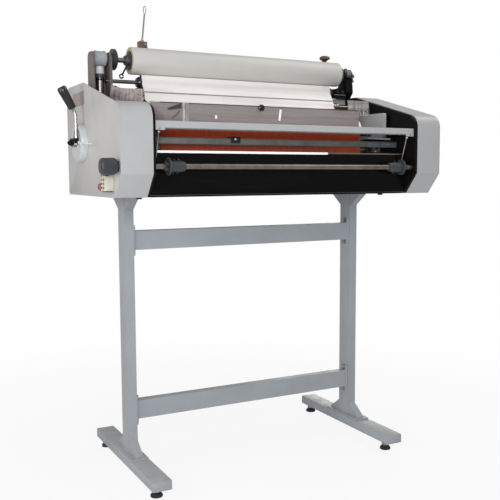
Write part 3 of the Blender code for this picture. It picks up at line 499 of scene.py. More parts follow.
MATERIALS = {
    "stand": painted("stand_paint", (0.385, 0.405, 0.43), 0.42, 520.0, dusty=0.35),
    "cover": painted("cover_paint", (0.49, 0.49, 0.492), 0.34, 640.0, dusty=0.12, coat=0.25),
    "black_paint": painted("black_paint", (0.006, 0.0055, 0.006), 0.4, 560.0, (0.06, 0.06, 0.06), 0.1,
                           specular=0.1),
    "bronze": painted("bronze_paint", (0.15, 0.125, 0.12), 0.36, 560.0, (0.3, 0.27, 0.25), 0.1),
    "block_blue": painted("block_paint", (0.12, 0.132, 0.155), 0.38, 560.0, (0.3, 0.3, 0.32), 0.1),
    "dial_enamel": painted("dial_enamel", (0.53, 0.56, 0.585), 0.3, 640.0, dusty=0.1, coat=0.3),
    "bar_grey": machined("bar_grey", (0.205, 0.2, 0.18), 0.42, (1.5, 340.0, 340.0), 0.35, 0.15),
    "steel": machined("steel", (0.52, 0.51, 0.49), 0.28, (300.0, 2.0, 2.0)),
    "aged_steel": machined("aged_steel", (0.34, 0.29, 0.26), 0.34, (260.0, 2.0, 2.0), tarnish=0.2),
    "aluminium": machined("aluminium", (0.6, 0.61, 0.6), 0.36, (1.5, 340.0, 340.0)),
    "chrome": machined("chrome", (0.36, 0.345, 0.34), 0.16, (40.0, 40.0, 40.0), tarnish=0.05),
    "zinc": machined("zinc", (0.46, 0.46, 0.45), 0.34, (90.0, 90.0, 90.0), tarnish=0.22),
    "brass": machined("brass", (0.42, 0.33, 0.22), 0.36, (80.0, 80.0, 80.0), tarnish=0.2),
    "silicone": silicone("silicone", (0.7, 0.125, 0.06)),
    # The same silicone in a brighter red: painted light, making up for the beam's shadow on the upper
    # sleeve.
    "silicone_painted_light": silicone("silicone_painted_light", (0.97, 0.16, 0.07)),
    "rubber": black_rubber(),
    "gloss_black": gloss_black(),
    "black_plastic": moulded("black_plastic", (0.009, 0.009, 0.01), 0.26, 900.0, 0.2),
    "dark_plastic": moulded("dark_plastic", (0.042, 0.044, 0.057), 0.42),
    "grey_plastic": moulded("grey_plastic", (0.049, 0.055, 0.059), 0.45),
    "cream": moulded("cream_plastic", (0.6, 0.565, 0.47), 0.4),
    "red": moulded("red_plastic", (0.34, 0.1, 0.075), 0.32, 900.0, 0.3),
    "maroon_metal": machined("maroon_metal", (0.26, 0.15, 0.14), 0.3, (60.0, 60.0, 60.0), 0.6, 0.2),
    "smoke": moulded("smoke_edge", (0.055, 0.048, 0.046), 0.2, 900.0, 0.4),
    "white_plastic": moulded("white_plastic", (0.78, 0.76, 0.75), 0.35),
    "film": film_layers(),
    "roll_end": roll_end(),
    "web": web_film(),
    # Dark grey for the painted shade line across the web's bend.
    "painted_crease_shade": moulded("painted_crease_shade", (0.27, 0.245, 0.235), 0.45),
    "acrylic": clear_acrylic(),
    "crumpled": clear_acrylic("crumpled_film", (0.4, 0.8), 0.6, (0.46, 0.42, 0.41)),
    "creased": clear_acrylic("creased_film", (0.8, 0.98), 0.8, (0.43, 0.365, 0.345)),
    "card": brown_card(),
    # Glowing white for painted highlights: the glints on the guard and the glare strip along the front
    # panel.
    "painted_highlight_white": ink("painted_highlight_white", (0.93, 0.93, 0.92), 0.35),
    "dark_ink": ink("dark_ink", (0.03, 0.03, 0.034)),
    "label": ink("blank_label", (0.36, 0.29, 0.285)),
}


# ---- CAD nodes: smooth shading, eased edges and a finish -------------------------------------------------
def shading_group():
    """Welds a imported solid's triangles and shades it smooth, with its real edges kept sharp."""
    group = bpy.data.node_groups.new("weld_and_smooth", "GeometryNodeTree")
    group.interface.new_socket("Geometry", in_out="INPUT", socket_type="NodeSocketGeometry")
    group.interface.new_socket("Geometry", in_out="OUTPUT", socket_type="NodeSocketGeometry")
    add = group.nodes.new
    start, end = add("NodeGroupInput"), add("NodeGroupOutput")
    weld = add("GeometryNodeMergeByDistance")
    fill(weld, Distance=0.00001)
    bare = add("GeometryNodeRemoveAttribute")
    fill(bare, Name="custom_normal")
    faces = add("GeometryNodeSetShadeSmooth")
    sharp = add("GeometryNodeSetShadeSmooth")
    sharp.domain = "EDGE"
    fill(sharp, Shade_Smooth=False)
    angle = add("GeometryNodeInputMeshEdgeAngle")
    wide = add("FunctionNodeCompare")
    wide.data_type = "FLOAT"
    wide.operation = "GREATER_THAN"
    wide.inputs[1].default_value = math.radians(38.0)
    link = group.links.new
    link(start.outputs[0], bare.inputs["Geometry"])
    link(bare.outputs["Geometry"], weld.inputs["Geometry"])
    link(weld.outputs["Geometry"], faces.inputs["Geometry"])
    link(faces.outputs["Geometry"], sharp.inputs["Geometry"])
    link(angle.outputs["Unsigned Angle"], wide.inputs[0])
    link(wide.outputs["Result"], sharp.inputs["Selection"])
    link(sharp.outputs["Geometry"], end.inputs[0])
    return group


SHADING = shading_group()


def dress(material, nodes, easing=0.0, segments=3):
    """Give CAD nodes a finish, smooth shading and, where easing is set, rounded edges."""
    for node in nodes:
        obj = NODES[node]
        for slot in obj.material_slots:
            slot.material = MATERIALS[material]
        smoothing = obj.modifiers.new("weld_and_smooth", "NODES")
        smoothing.node_group = SHADING
        if easing:
            ease_edges(obj, easing, segments, 40.0)


def both(base):
    return (base + "_left", base + "_right")


def dress_cad():
    levellers = ["leveller_%s_%s" % (end, side) for end in ("front", "rear") for side in ("left", "right")]
    dress("stand", (*both("foot_beam"), *both("post")))
    dress("stand", ("upper_cross_beam", "lower_cross_beam"), 0.0012)
    dress("rubber", levellers)
    dress("black_paint", ("base_plate", *both("side_plate"), "takeup_fork"), 0.0006, 2)
    dress("black_paint", ("supply_bracket_right",), 0.0015)
    dress("gloss_black", ("front_panel",), 0.0006, 2)
    dress("cover", both("cover"))
    dress("cover", ("rear_panel", "guard_beam"), 0.0006, 2)
    dress("cover", both("roller_arm"), 0.0008, 2)
    dress("bronze", ("supply_bracket_left",), 0.0008, 2)
    dress("steel", (*both("guard_stay"), *both("lower_bearing"), "cam_shaft"))
    dress("aged_steel", ("arm_pivot_shaft", "supply_shaft", "front_shaft", "takeup_shaft"))
    dress("steel", ("lower_roller_shaft", "upper_roller_shaft", "roller_gear", "motor_pinion"))
    dress("silicone", ("lower_roller_sleeve",))
    # The upper sleeve gets the brightened red, painted light against the beam's shadow.
    dress("silicone_painted_light", ("upper_roller_sleeve",))
    dress("bar_grey", ("feed_bar",))
    dress("stand", ("brake_drum",))
    dress("aged_steel", ("roll_idler", "guide_bar"))
    dress("chrome", ("pressure_lever",))
    dress("black_plastic", ("lever_grip", "edge_guide"))
    dress("grey_plastic", ("brake_disc", *both("core_chuck"), *both("front_chuck")))
    dress("dark_plastic", ("tension_knob", "gear_motor"))
    dress("acrylic", ("clear_guard",))
    dress("cream", ("power_inlet",))
    dress("red", ("start_button",))


def across(axis):
    """Two directions at right angles to axis and to each other."""
    axis = Vector(axis).normalized()
    side = axis.cross(Z if abs(axis.z) < 0.9 else X).normalized()
    return side, axis.cross(side).normalized()


class Piece:
    """One visual piece: solids gathered in one mesh, each with its own finish, in the frame's metres."""

    def __init__(self, name, body):
        self.name = name
        self.body = body
        self.bm = bmesh.new()
        self.finishes = []

    def finish_index(self, finish):
        if finish not in self.finishes:
            self.finishes.append(finish)
        return self.finishes.index(finish)

    def face(self, corners, index):
        unique = []
        for corner in corners:
            if corner not in unique:
                unique.append(corner)
        if len(unique) > 2:
            self.bm.faces.new(unique).material_index = index

    def skin(self, rings, finish, closed=True, looped=False):
        """Quads between rings of points. A ring of one point is a pole."""
        index = self.finish_index(finish)
        made = [[self.bm.verts.new(point) for point in ring] for ring in rings]
        pairs = list(zip(made, made[1:]))
        if looped:
            pairs.append((made[-1], made[0]))
        for a, b in pairs:
            count = max(len(a), len(b))
            for i in range(count if closed else count - 1):
                j = (i + 1) % count
                self.face((a[i % len(a)], a[j % len(a)], b[j % len(b)], b[i % len(b)]), index)
        return made

    def turn(self, profile, centre, axis, finish, steps=40, shape=None):
        """A turned solid: profile holds (radius, distance along axis). With a bore it closes on itself."""
        axis = Vector(axis).normalized()
        u, v = across(axis)
        rings = []
        for radius, along in profile:
            middle_point = Vector(centre) + axis * along
            if radius <= 0.0:
                rings.append([middle_point])
                continue
            ring = []
            for step in range(steps):
                angle = 2 * math.pi * step / steps
                reach = radius * (shape(angle, radius) if shape else 1.0)
                ring.append(middle_point + (u * math.cos(angle) + v * math.sin(angle)) * reach)
            rings.append(ring)
        self.skin(rings, finish, looped=profile[0][0] > 0.0)

    def tube(self, points, radius, finish, steps=12, caps=True):
        """A round bar along points. radius is one number, or one for each point."""
        points = [Vector(p) for p in points]
        radii = radius if isinstance(radius, list) else [radius] * len(points)
        rings = []
        side = across(points[1] - points[0])[0]
        for i, point in enumerate(points):
            ahead = points[min(i + 1, len(points) - 1)] - points[max(i - 1, 0)]
            ahead.normalize()
            side = (side - ahead * side.dot(ahead)).normalized()
            other = ahead.cross(side)
            ring = []
            for step in range(steps):
                angle = 2 * math.pi * step / steps
                ring.append(point + (side * math.cos(angle) + other * math.sin(angle)) * radii[i])
            rings.append(ring)
        if caps:
            rings = [[points[0]]] + rings + [[points[-1]]]
        self.skin(rings, finish)

    def prism(self, outline, depth, finish):
        """An outline of points, pushed along the vector depth."""
        index = self.finish_index(finish)
        near = [self.bm.verts.new(point) for point in outline]
        far = [self.bm.verts.new(Vector(point) + Vector(depth)) for point in outline]
        self.face(near[::-1], index)
        self.face(far, index)
        for i in range(len(near)):
            j = (i + 1) % len(near)
            self.face((near[i], near[j], far[j], far[i]), index)

    def block(self, low, high, finish, tilt=None):
        """A box between two corners. tilt is a rotation about its centre."""
        low, high = Vector(low), Vector(high)
        centre = (low + high) / 2
        corners = [(low.x, low.y), (high.x, low.y), (high.x, high.y), (low.x, high.y)]
        outline = [Vector((x, y, low.z)) for x, y in corners]
        depth = Vector((0.0, 0.0, high.z - low.z))
        if tilt is not None:
            outline = [centre + tilt @ (point - centre) for point in outline]
            depth = tilt @ depth
        self.prism(outline, depth, finish)

    def bolt(self, base, axis, size, finish="zinc"):
        """A hexagon head on a washer. size is half the width of the head across its corners."""
        self.turn([(0.0, 0.0), (size * 1.3, 0.0), (size * 1.3, size * 0.16), (0.0, size * 0.16)],
                  base, axis, finish, 24)
        self.turn([(0.0, size * 0.16), (size, size * 0.16), (size, size * 0.72), (size * 0.82, size * 0.86),
                   (0.0, size * 0.86)], base, axis, finish, 6)

    def screw(self, base, axis, radius, finish="zinc"):
        """A round head with a socket in it."""
        self.turn([(0.0, 0.0), (radius, 0.0), (radius * 0.96, radius * 0.35), (radius * 0.7, radius * 0.58),
                   (radius * 0.45, radius * 0.62), (radius * 0.45, radius * 0.25), (0.0, radius * 0.22)],
                  base, axis, finish, 18)

    def done(self, easing=0.0, segments=2, angle=35.0, replaced=()):
        """Put the piece in the scene, on its body, and give it its finishes."""
        bmesh.ops.recalc_face_normals(self.bm, faces=self.bm.faces)
        mesh = bpy.data.meshes.new(self.name)
        self.bm.to_mesh(mesh)
        self.bm.free()
        mesh.shade_smooth()
        mesh.set_sharp_from_angle(angle=math.radians(angle))
        for finish in self.finishes:
            mesh.materials.append(MATERIALS[finish])
        obj = bpy.data.objects.new(self.name, mesh)
        show(obj)
        if easing:
            ease_edges(obj, easing, segments, angle)
        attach(obj, self.body)
        if replaced:
            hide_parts(*replaced)
        return obj


def arc(centre, u, v, radius, start, end, steps):
    """Points on an arc in the plane of u and v, from start to end degrees."""
    points = []
    for step in range(steps + 1):
        angle = math.radians(start + (end - start) * step / steps)
        points.append(Vector(centre) + (Vector(u) * math.cos(angle) + Vector(v) * math.sin(angle)) * radius)
    return points


# ---- film ------------------------------------------------------------------------------------------------
def film_roll():
    """The roll: a paper core, wound layers with slightly uneven ends, and the tail's edge along it."""
    low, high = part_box("film_roll")
    centre = (low + high) / 2
    radius = (high.z - low.z) / 2
    half = (high.x - low.x) / 2
    bore = (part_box("core_chuck_left")[1].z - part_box("core_chuck_left")[0].z) / 2 - 0.001
    card = radius * 0.72
    roll = Piece("film_roll_wound", "supply_roll")
    layers = [(card, half - 0.0006), (radius - 0.0016, half - 0.0004), (radius - 0.0006, half - 0.0012),
              (radius - 0.0001, half - 0.003)]
    mirrored = [(r, -a) for r, a in layers[::-1]]
    roll.turn(layers[1:] + mirrored[:-1], centre, X, "film", 112)
    for side in (-1, 1):
        rings = [(card, side * (half - 0.0006)), (radius - 0.0016, side * (half - 0.0004)),
                 (radius - 0.003, side * (half - 0.004)), (card, side * (half - 0.004))]
        roll.turn(rings, centre, X, "roll_end", 112)
    roll.turn([(bore, -half), (card, -half), (card, half), (bore, half)], centre, X, "card", 96)
    roll.done(replaced=("film_roll",))


WEB_PATH = (
    (0.0236, 1.2508), (0.0228, 1.24), (0.0222, 1.228), (0.015, 1.216), (0.003, 1.199), (-0.0022, 1.186),
    (-0.0025, 1.176), (-0.008, 1.17), (-0.05, 1.1556), (-0.1, 1.1392), (-0.135, 1.127),
    (-0.16, 1.1172), (-0.168, 1.108), (-0.172, 1.099),
)


def film_web():
    """The film from the roll past the two bars to the nip, with slight slack and puckers in it, and a band
    of painted shade where it bends over the idler.
    """
    low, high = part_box("film_web")
    rows = []
    for (y0, z0), (y1, z1) in zip(WEB_PATH, WEB_PATH[1:]):
        count = max(2, int(math.dist((y0, z0), (y1, z1)) / 0.004))
        rows += [(y0 + (y1 - y0) * i / count, z0 + (z1 - z0) * i / count) for i in range(count)]
    rows.append(WEB_PATH[-1])
    columns = 90
    web = Piece("film_web_sheet", "frame")
    rings = []
    for i, (y, z) in enumerate(rows):
        free = min(1.0, min(i, len(rows) - 1 - i) / 6.0)
        ring = []
        for j in range(columns + 1):
            x = low.x + (high.x - low.x) * j / columns
            pucker = noise.noise(Vector((x * 9.0, y * 5.0, z * 3.0))) * 0.0006 * free
            ring.append(Vector((x, DESIGN.y + y + pucker, z + pucker * 0.5)))
        rings.append(ring)
    web.skin(rings, "web", closed=False)
    # A dark band across the web where it bends over the idler: painted shade, not a mark on the film.
    crease_shade, clear = web.finish_index("painted_crease_shade"), web.finish_index("crumpled")
    for face in web.bm.faces:
        centre = face.calc_center_median()
        if 1.1965 < centre.z < 1.2005:
            face.material_index = crease_shade
        elif centre.x > high.x - 0.03 and 1.135 < centre.z < 1.17:
            face.material_index = clear
    sheet = web.done(angle=60.0, replaced=("film_web",))


def crumpled_sheet(name, corner, along, out, width, drop, folds, seed, finish="crumpled", steep=1.0):
    """A scrap of clear film gathered in folds: its cross-section is bent, never stretched."""
    rng = random.Random(seed)
    scrap = Piece(name, "frame")
    steps = folds * 10
    turns = [steep * rng.uniform(0.55, 1.25) for _ in range(folds)]
    shares = [rng.uniform(0.5, 1.5) for _ in range(folds)]
    section = [Vector((0.0, 0.0))]
    for i in range(steps):
        angle = turns[i // 10] * math.sin(2 * math.pi * i / 10.0)
        step_length = width / 10.0 * shares[i // 10] / sum(shares)
        section.append(section[-1] + Vector((math.cos(angle), math.sin(angle))) * step_length)
    rows = 16
    rings = []
    for r in range(rows + 1):
        t = r / rows
        ring = []
        for i, point in enumerate(section):
            ripple = noise.noise(Vector((i * 0.29 + t * 2.0, t * 3.0, seed))) * 0.003
            bulge = 0.12 * drop * math.sin(2.2 * t)
            ring.append(Vector(corner) + along * point.x + out * (point.y + ripple + bulge) - Z * drop * t)
        rings.append(ring)
    scrap.skin(rings, finish, closed=False)
    sheet = scrap.done(angle=180.0)


def scraps():
    """The film's trimmed edges, bunched at both ends of the guide bar and over the left side plate."""
    crumpled_sheet("film_edge_right", at(0.305, -0.15, 1.186), X, -Y, 0.105, 0.05, 4, 3)
    crumpled_sheet("film_edge_left", at(-0.434, 0.01, 1.206), X, -Y, 0.104, 0.05, 5, 7, "creased")
    along_plate = (-Y - Z * 0.222).normalized()
    crumpled_sheet("film_edge_far_left", at(-0.453, 0.0, 1.215), along_plate, -X, 0.315, 0.042, 9, 5,
                   "creased", 0.42)


# ---- left cover: dial, lever, knob, button, inlet --------------------------------------------------------
def dial():
    """The pressure dial with its raised ring and its scale, printed on the rear half."""
    low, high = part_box("pressure_dial")
    centre = Vector((high.x, (low.y + high.y) / 2, (low.z + high.z) / 2))
    radius = (high.z - low.z) / 2
    depth = high.x - low.x
    bore = 0.0087
    plate = Piece("dial_face", "frame")
    plate.turn([(bore, 0.0), (radius, 0.0), (radius, depth - 0.004), (radius - 0.0012, depth - 0.0012),
                (radius - 0.004, depth), (radius - 0.008, depth), (radius - 0.0095, depth - 0.0012),
                (0.02, depth - 0.0012), (0.019, depth), (bore, depth)], centre, -X, "dial_enamel", 96)
    face_x = high.x - depth + 0.0012
    for tick in range(17):
        angle = math.radians(20.0 + tick * 8.0)
        direction = radial(angle)
        side = radial(angle + math.pi / 2)
        long = 0.011 if tick % 2 == 0 else 0.006
        wide = 0.0013 if tick % 2 == 0 else 0.0008
        start = Vector((face_x, centre.y, centre.z)) + direction * (radius - 0.0125 - long)
        outline = [start - side * wide, start + side * wide, start + side * wide + direction * long,
                   start - side * wide + direction * long]
        plate.prism(outline, (-0.0004, 0.0, 0.0), "dark_ink")
    plate.done(0.0004, replaced=("pressure_dial",))
    for number in range(5):
        angle = math.radians(28.0 + number * 30.0)
        text = bpy.data.curves.new("numeral", "FONT")
        text.body = str(number)
        text.size = 0.017
        text.align_x = "CENTER"
        text.align_y = "CENTER"
        text.extrude = 0.0002
        text.materials.append(MATERIALS["dark_ink"])
        obj = bpy.data.objects.new("dial_numeral_%d" % number, text)
        reach = radius - 0.032
        obj.location = Vector((face_x - 0.0002, centre.y, centre.z)) + radial(angle) * reach
        obj.rotation_euler = (math.pi / 2, 0.0, -math.pi / 2)
        show(obj)
        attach(obj, "frame")


def lever_details():
    """The black collar and clamp screw at the lever's foot, and the white pointer."""
    pivot = PIVOTS["pressure_lever_turn"]
    low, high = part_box("pressure_lever")
    hub_x = high.x
    foot = Piece("lever_collar", "pressure_handle")
    front = low.y
    foot.block((hub_x - 0.016, front - 0.0018, pivot.z - 0.002),
               (hub_x - 0.0002, pivot.y + 0.015, pivot.z + 0.013), "black_paint")
    foot.done(0.0018, 3)
    clamp = Piece("lever_clamp_screw", "pressure_handle")
    clamp.turn(mm((0, 0), (9, 0), (9, 5), (6, 8.5), (0, 8.5)),
               (hub_x - 0.013, pivot.y, pivot.z), -X, "black_paint", 32)
    clamp.bolt((hub_x - 0.0215, pivot.y, pivot.z), -X, 0.005, "black_paint")
    clamp.done(0.0004)
    pointer = Piece("lever_pointer", "pressure_handle")
    root, tip = at(0.0, -0.023, 1.0375), at(0.0, -0.169, 1.028)
    outline = [(root.y, root.z + 0.0034), (tip.y, tip.z + 0.0012), (tip.y, tip.z - 0.0012),
               (root.y, root.z - 0.0034)]
    points = [(hub_x - 0.006, y, z) for y, z in outline]
    pointer.prism(points, (0.0018, 0.0, 0.0), "white_plastic")
    pointer.done(0.0003)


def electrics():
    """Bezels, the fuse holder and the socket under the knob, all low on the left cover."""
    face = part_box("cover_left")[0].x
    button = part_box("start_button")
    centre = (button[0] + button[1]) / 2
    bezel = Piece("button_bezel", "frame")
    spot = (face, centre.y, centre.z)
    bezel.turn(mm((9.8, 0), (13.5, 0), (13.5, 2), (11.8, 4.2), (9.8, 4.2)), spot, -X, "dark_plastic", 40)
    bezel.done(0.0003)
    holder = Piece("fuse_holder", "frame")
    spot = (face, centre.y + 0.002, centre.z - 0.032)
    holder.turn(mm((0, 0), (13, 0), (13, 3), (10.5, 5), (10.5, 14), (8.5, 16.5), (0, 16.5)), spot, -X,
                "red", 40, ribbed(12, 0.035, 0.4, 0.01))
    holder.block((face - 0.0172, spot[1] - 0.001, spot[2] - 0.0065),
                 (face - 0.016, spot[1] + 0.001, spot[2] + 0.0065), "dark_ink")
    holder.done(0.0003)
    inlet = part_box("power_inlet")
    centre = (inlet[0] + inlet[1]) / 2
    socket = Piece("inlet_housing", "frame")
    low = Vector((face - 0.026, centre.y - 0.021, centre.z - 0.019))
    high = Vector((face - 0.0002, centre.y + 0.013, centre.z + 0.02))
    socket.block(low, high, "cream")
    for row in range(3):
        for column in range(2):
            y = low.y + 0.0085 + column * 0.0165
            z = low.z + 0.0085 + row * 0.011
            socket.turn(mm((0, 0), (3.6, 0), (3.2, 1.2), (0, 1.2)), (low.x, y, z), -X, "dark_ink", 16)
    for rib in range(4):
        x = low.x + 0.004 + rib * 0.0058
        socket.block((x, low.y - 0.0012, low.z + 0.0015), (x + 0.0026, low.y + 0.001, high.z - 0.0015),
                     "cream")
        socket.block((x, low.y + 0.003, high.z - 0.001), (x + 0.0026, high.y - 0.003, high.z + 0.0012),
                     "cream")
    socket.block(near(low, 2, 2, -3), (high.x - 0.004, high.y - 0.002, low.z + 0.001), "dark_plastic")
    socket.turn(mm((0, 0), (5.5, 0), (5.5, 9), (4, 10), (0, 10)),
                (face - 0.009, high.y + 0.002, high.z - 0.002), Z, "dark_plastic", 20)
    socket.done(0.0007, 2)


def cover_details():
    """The blank plate high on the left cover, the rubber pads under the head, and the screws."""
    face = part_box("cover_left")[0].x
    plate = Piece("blank_plate", "frame")
    low, high = at(0.0, -0.009, 1.15), at(0.0, 0.12, 1.19)
    plate.block((face - 0.0008, low.y, low.z), (face - 0.0001, high.y, high.z), "label")
    for y in (low.y + 0.004, high.y - 0.004):
        for z in (low.z + 0.004, high.z - 0.004):
            plate.turn(mm((0, 0), (1.4, 0), (0.8, 0.6), (0, 0.7)), (face - 0.0008, y, z), -X, "zinc", 14)
    plate.done(0.0002)
    pads = Piece("head_pads", "frame")
    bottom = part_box("cover_left")[0].z
    for side in (-1, 1):
        for y in (-0.169, 0.15):
            spot = at(side * 0.43, y, 0.0)
            pads.turn(mm((0, 0), (9, 0), (9, -5), (7.5, -8), (0, -8)),
                      (spot.x, spot.y, bottom), Z, "rubber", 24)
    pads.done(0.0004)
    screws = Piece("cover_screws", "frame")
    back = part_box("rear_panel")[1].y
    for side in (-1, 1):
        for z in (0.915, 1.18):
            screws.screw((x_at(side * 0.425), back, z), Y, 0.0042)
    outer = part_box("cover_right")[1].x
    for y, z in ((-0.24, 0.925), (0.16, 0.905)):
        screws.screw((outer, at(0.0, y, 0.0).y, z), X, 0.0042)
    screws.done(0.0002)


# ---- film shafts -----------------------------------------------------------------------------------------
def supply_details():
    """The left chuck's cone and eye lever, rings on the brake disc, and the idler's black collars."""
    axis = PIVOTS["supply_roll_turn"]
    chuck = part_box("core_chuck_left")
    lever = Piece("chuck_eye_lever", "supply_roll")
    root = Vector((chuck[0].x + 0.004, axis.y - 0.02, axis.z - 0.012))
    tip = Vector((chuck[0].x - 0.017, axis.y - 0.027, axis.z - 0.047))
    lever.tube([root, root.lerp(tip, 0.5), tip], [0.0034, 0.0028, 0.0026], "black_plastic", 12)
    eye = tip + (tip - root).normalized() * 0.006
    lever.tube(arc(eye, X, Z, 0.0058, 0, 345, 24), 0.0024, "black_plastic", 10)
    lever.done()
    cone = Piece("chuck_cone_left", "supply_roll")
    x = chuck[0].x
    core = (chuck[1].z - chuck[0].z) / 2 - 0.003
    cone.turn([(0.0086, 0.0), (0.014, 0.0), (0.0155, 0.0035), (0.017, 0.008), (0.0188, 0.01),
               (0.0188, 0.0122), (core, 0.0135), (core, 0.042), (0.0086, 0.042)],
              (x - 0.001, axis.y, axis.z), X, "grey_plastic", 56)
    for angle in (35.0, 155.0, 275.0):
        out = radial(math.radians(angle))
        cone.screw(Vector((x + 0.005, axis.y, axis.z)) + out * 0.0155, out, 0.0026, "zinc")
    cone.done(0.0003, replaced=("core_chuck_left",))
    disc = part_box("brake_disc")
    rim = Piece("disc_rim", "supply_roll")
    mid = (disc[0].x + disc[1].x) / 2
    for offset in (-0.0034, 0.0, 0.0034):
        rim.turn([(0.03, offset - 0.001), (0.0322, offset - 0.0008), (0.0322, offset + 0.0008),
                  (0.03, offset + 0.001)], (mid + 0.001, axis.y, axis.z), X, "black_plastic", 64)
    rim.done()
    centre = PIVOTS["roll_idler_turn"]
    collars = Piece("idler_collars", "idler_under_roll")
    for side in (-1, 1):
        start = side * 0.349
        collars.turn([(0.0064, start), (0.0172, start), (0.0178, start + side * 0.0015),
                      (0.0178, start + side * 0.006), (0.013, start + side * 0.013),
                      (0.0064, start + side * 0.013)], (DESIGN.x, centre.y, centre.z), X, "black_plastic",
                     40)
    collars.done(0.0004)


def bracket_details():
    """The left supply bracket's inner plate, the drum's rings and the brake screw."""
    low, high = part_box("supply_bracket_left")
    axis = PIVOTS["supply_roll_turn"]
    plate = Piece("bracket_inner_plate", "frame")
    right = high.x - 0.0061
    plate.block((right - 0.0012, low.y - 0.001, low.z + 0.0065), (right, high.y - 0.0065, high.z - 0.012),
                "bronze")
    plate.block((right - 0.0012, low.y - 0.0022, low.z + 0.0002),
                (high.x + 0.0006, low.y - 0.0004, high.z - 0.02), "bronze")
    for z in (1.215, 1.237):
        plate.screw((high.x - 0.003, low.y - 0.0022, z), -Y, 0.0019)
    plate.done(0.0003)
    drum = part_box("brake_drum")
    cap = Piece("drum_cap", "supply_roll")
    mid = (drum[0].x + drum[1].x) / 2
    cap.turn(mm((23.6, -15.5), (24.2, -15), (24.2, -12.8), (23.6, -12.3)),
             (mid, axis.y, axis.z), X, "stand", 64)
    cap.turn(mm((23.6, 12.3), (24.2, 12.8), (24.2, 15), (23.6, 15.5)),
             (mid, axis.y, axis.z), X, "stand", 64)
    cap.done()
    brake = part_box("brake_screw")
    centre = PIVOTS["supply_brake_turn"]
    stem = Piece("brake_screw_turned", "supply_brake")
    top = brake[1].z
    base = Vector((centre.x, centre.y, top))
    stem.turn(mm((0, 0), (11, 0), (13, -1.5), (13, -21), (12.2, -22.5), (0, -22.5)),
              base, Z, "white_plastic", 48)
    stem.turn(mm((0, -22.8), (13.8, -22.8), (14, -24), (14, -33), (0, -33)),
              base, Z, "grey_plastic", 48,
              ribbed(24, 0.02, 0.3, 0.0135))
    stem.turn(mm((0, -33.2), (14, -33.2), (14, -40), (12.5, -41.5), (0, -41.5)),
              base, Z, "black_plastic", 48)
    stem.turn([(0.0, -0.0417), (0.011, -0.0417), (0.011, brake[0].z - top + 0.0065),
               (0.006, brake[0].z - top + 0.0064), (0.006, brake[0].z - top), (0.0, brake[0].z - top)],
              base, Z, "aged_steel", 32)
    stem.done(0.0003, replaced=("brake_screw",))


def hook_details():
    """The right supply bracket's hook, latch and foot bolts, and the gusset beside it."""
    axis = PIVOTS["supply_roll_turn"]
    low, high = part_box("supply_bracket_right")
    hook = Piece("bracket_hook", "frame")
    x0, x1 = high.x - 0.03, high.x - 0.0002
    outline = arc((x0, axis.y, axis.z), Y, Z, 0.0215, 200, -20, 14)
    inner = arc((x0, axis.y, axis.z), Y, Z, 0.0185, -20, 200, 14)
    hook.prism(outline + inner, (x1 - x0, 0.0, 0.0), "black_plastic")
    hook.prism([(x0 + 0.004, axis.y - 0.026, axis.z - 0.01), (x0 + 0.004, axis.y - 0.017, axis.z - 0.014),
                (x0 + 0.004, axis.y - 0.016, axis.z + 0.016), (x0 + 0.004, axis.y - 0.022, axis.z + 0.01)],
               (0.018, 0.0, 0.0), "black_plastic")
    hook.bolt((x0 + 0.013, axis.y, axis.z + 0.0212), Z, 0.0048, "black_plastic")
    hook.done(0.001, 3)
    latch = Piece("bracket_latch", "frame")
    latch.block((high.x + 0.0004, axis.y - 0.0075, axis.z - 0.019),
                (high.x + 0.012, axis.y + 0.009, axis.z - 0.0095), "bronze")
    latch.block((high.x + 0.003, axis.y - 0.006, axis.z - 0.023),
                (high.x + 0.0155, axis.y + 0.006, axis.z - 0.016), "aged_steel")
    latch.screw((high.x + 0.0155, axis.y, axis.z - 0.0195), X, 0.003)
    latch.done(0.0008)
    gusset = Piece("bracket_gusset", "frame")
    outline = [(0.412, 1.285), (0.405, 1.26), (0.397, 1.249), (0.385, 1.245), (0.36, 1.2413),
               (0.412, 1.2413)]
    gusset.prism([at(x, 0.02, z) for x, z in outline], (0.0, 0.03, 0.0), "black_paint")
    gusset.done(0.0008)
    foot = Piece("bracket_foot_bolts", "frame")
    for x in (low.x + 0.014, low.x + 0.036):
        foot.bolt((x, low.y - 0.0004, low.z + 0.02), -Y, 0.0042, "black_plastic")
    foot.block(near(low, 1.5, -0.6, 9), near(low, 48, 1, 11), "zinc")
    foot.done(0.0003)


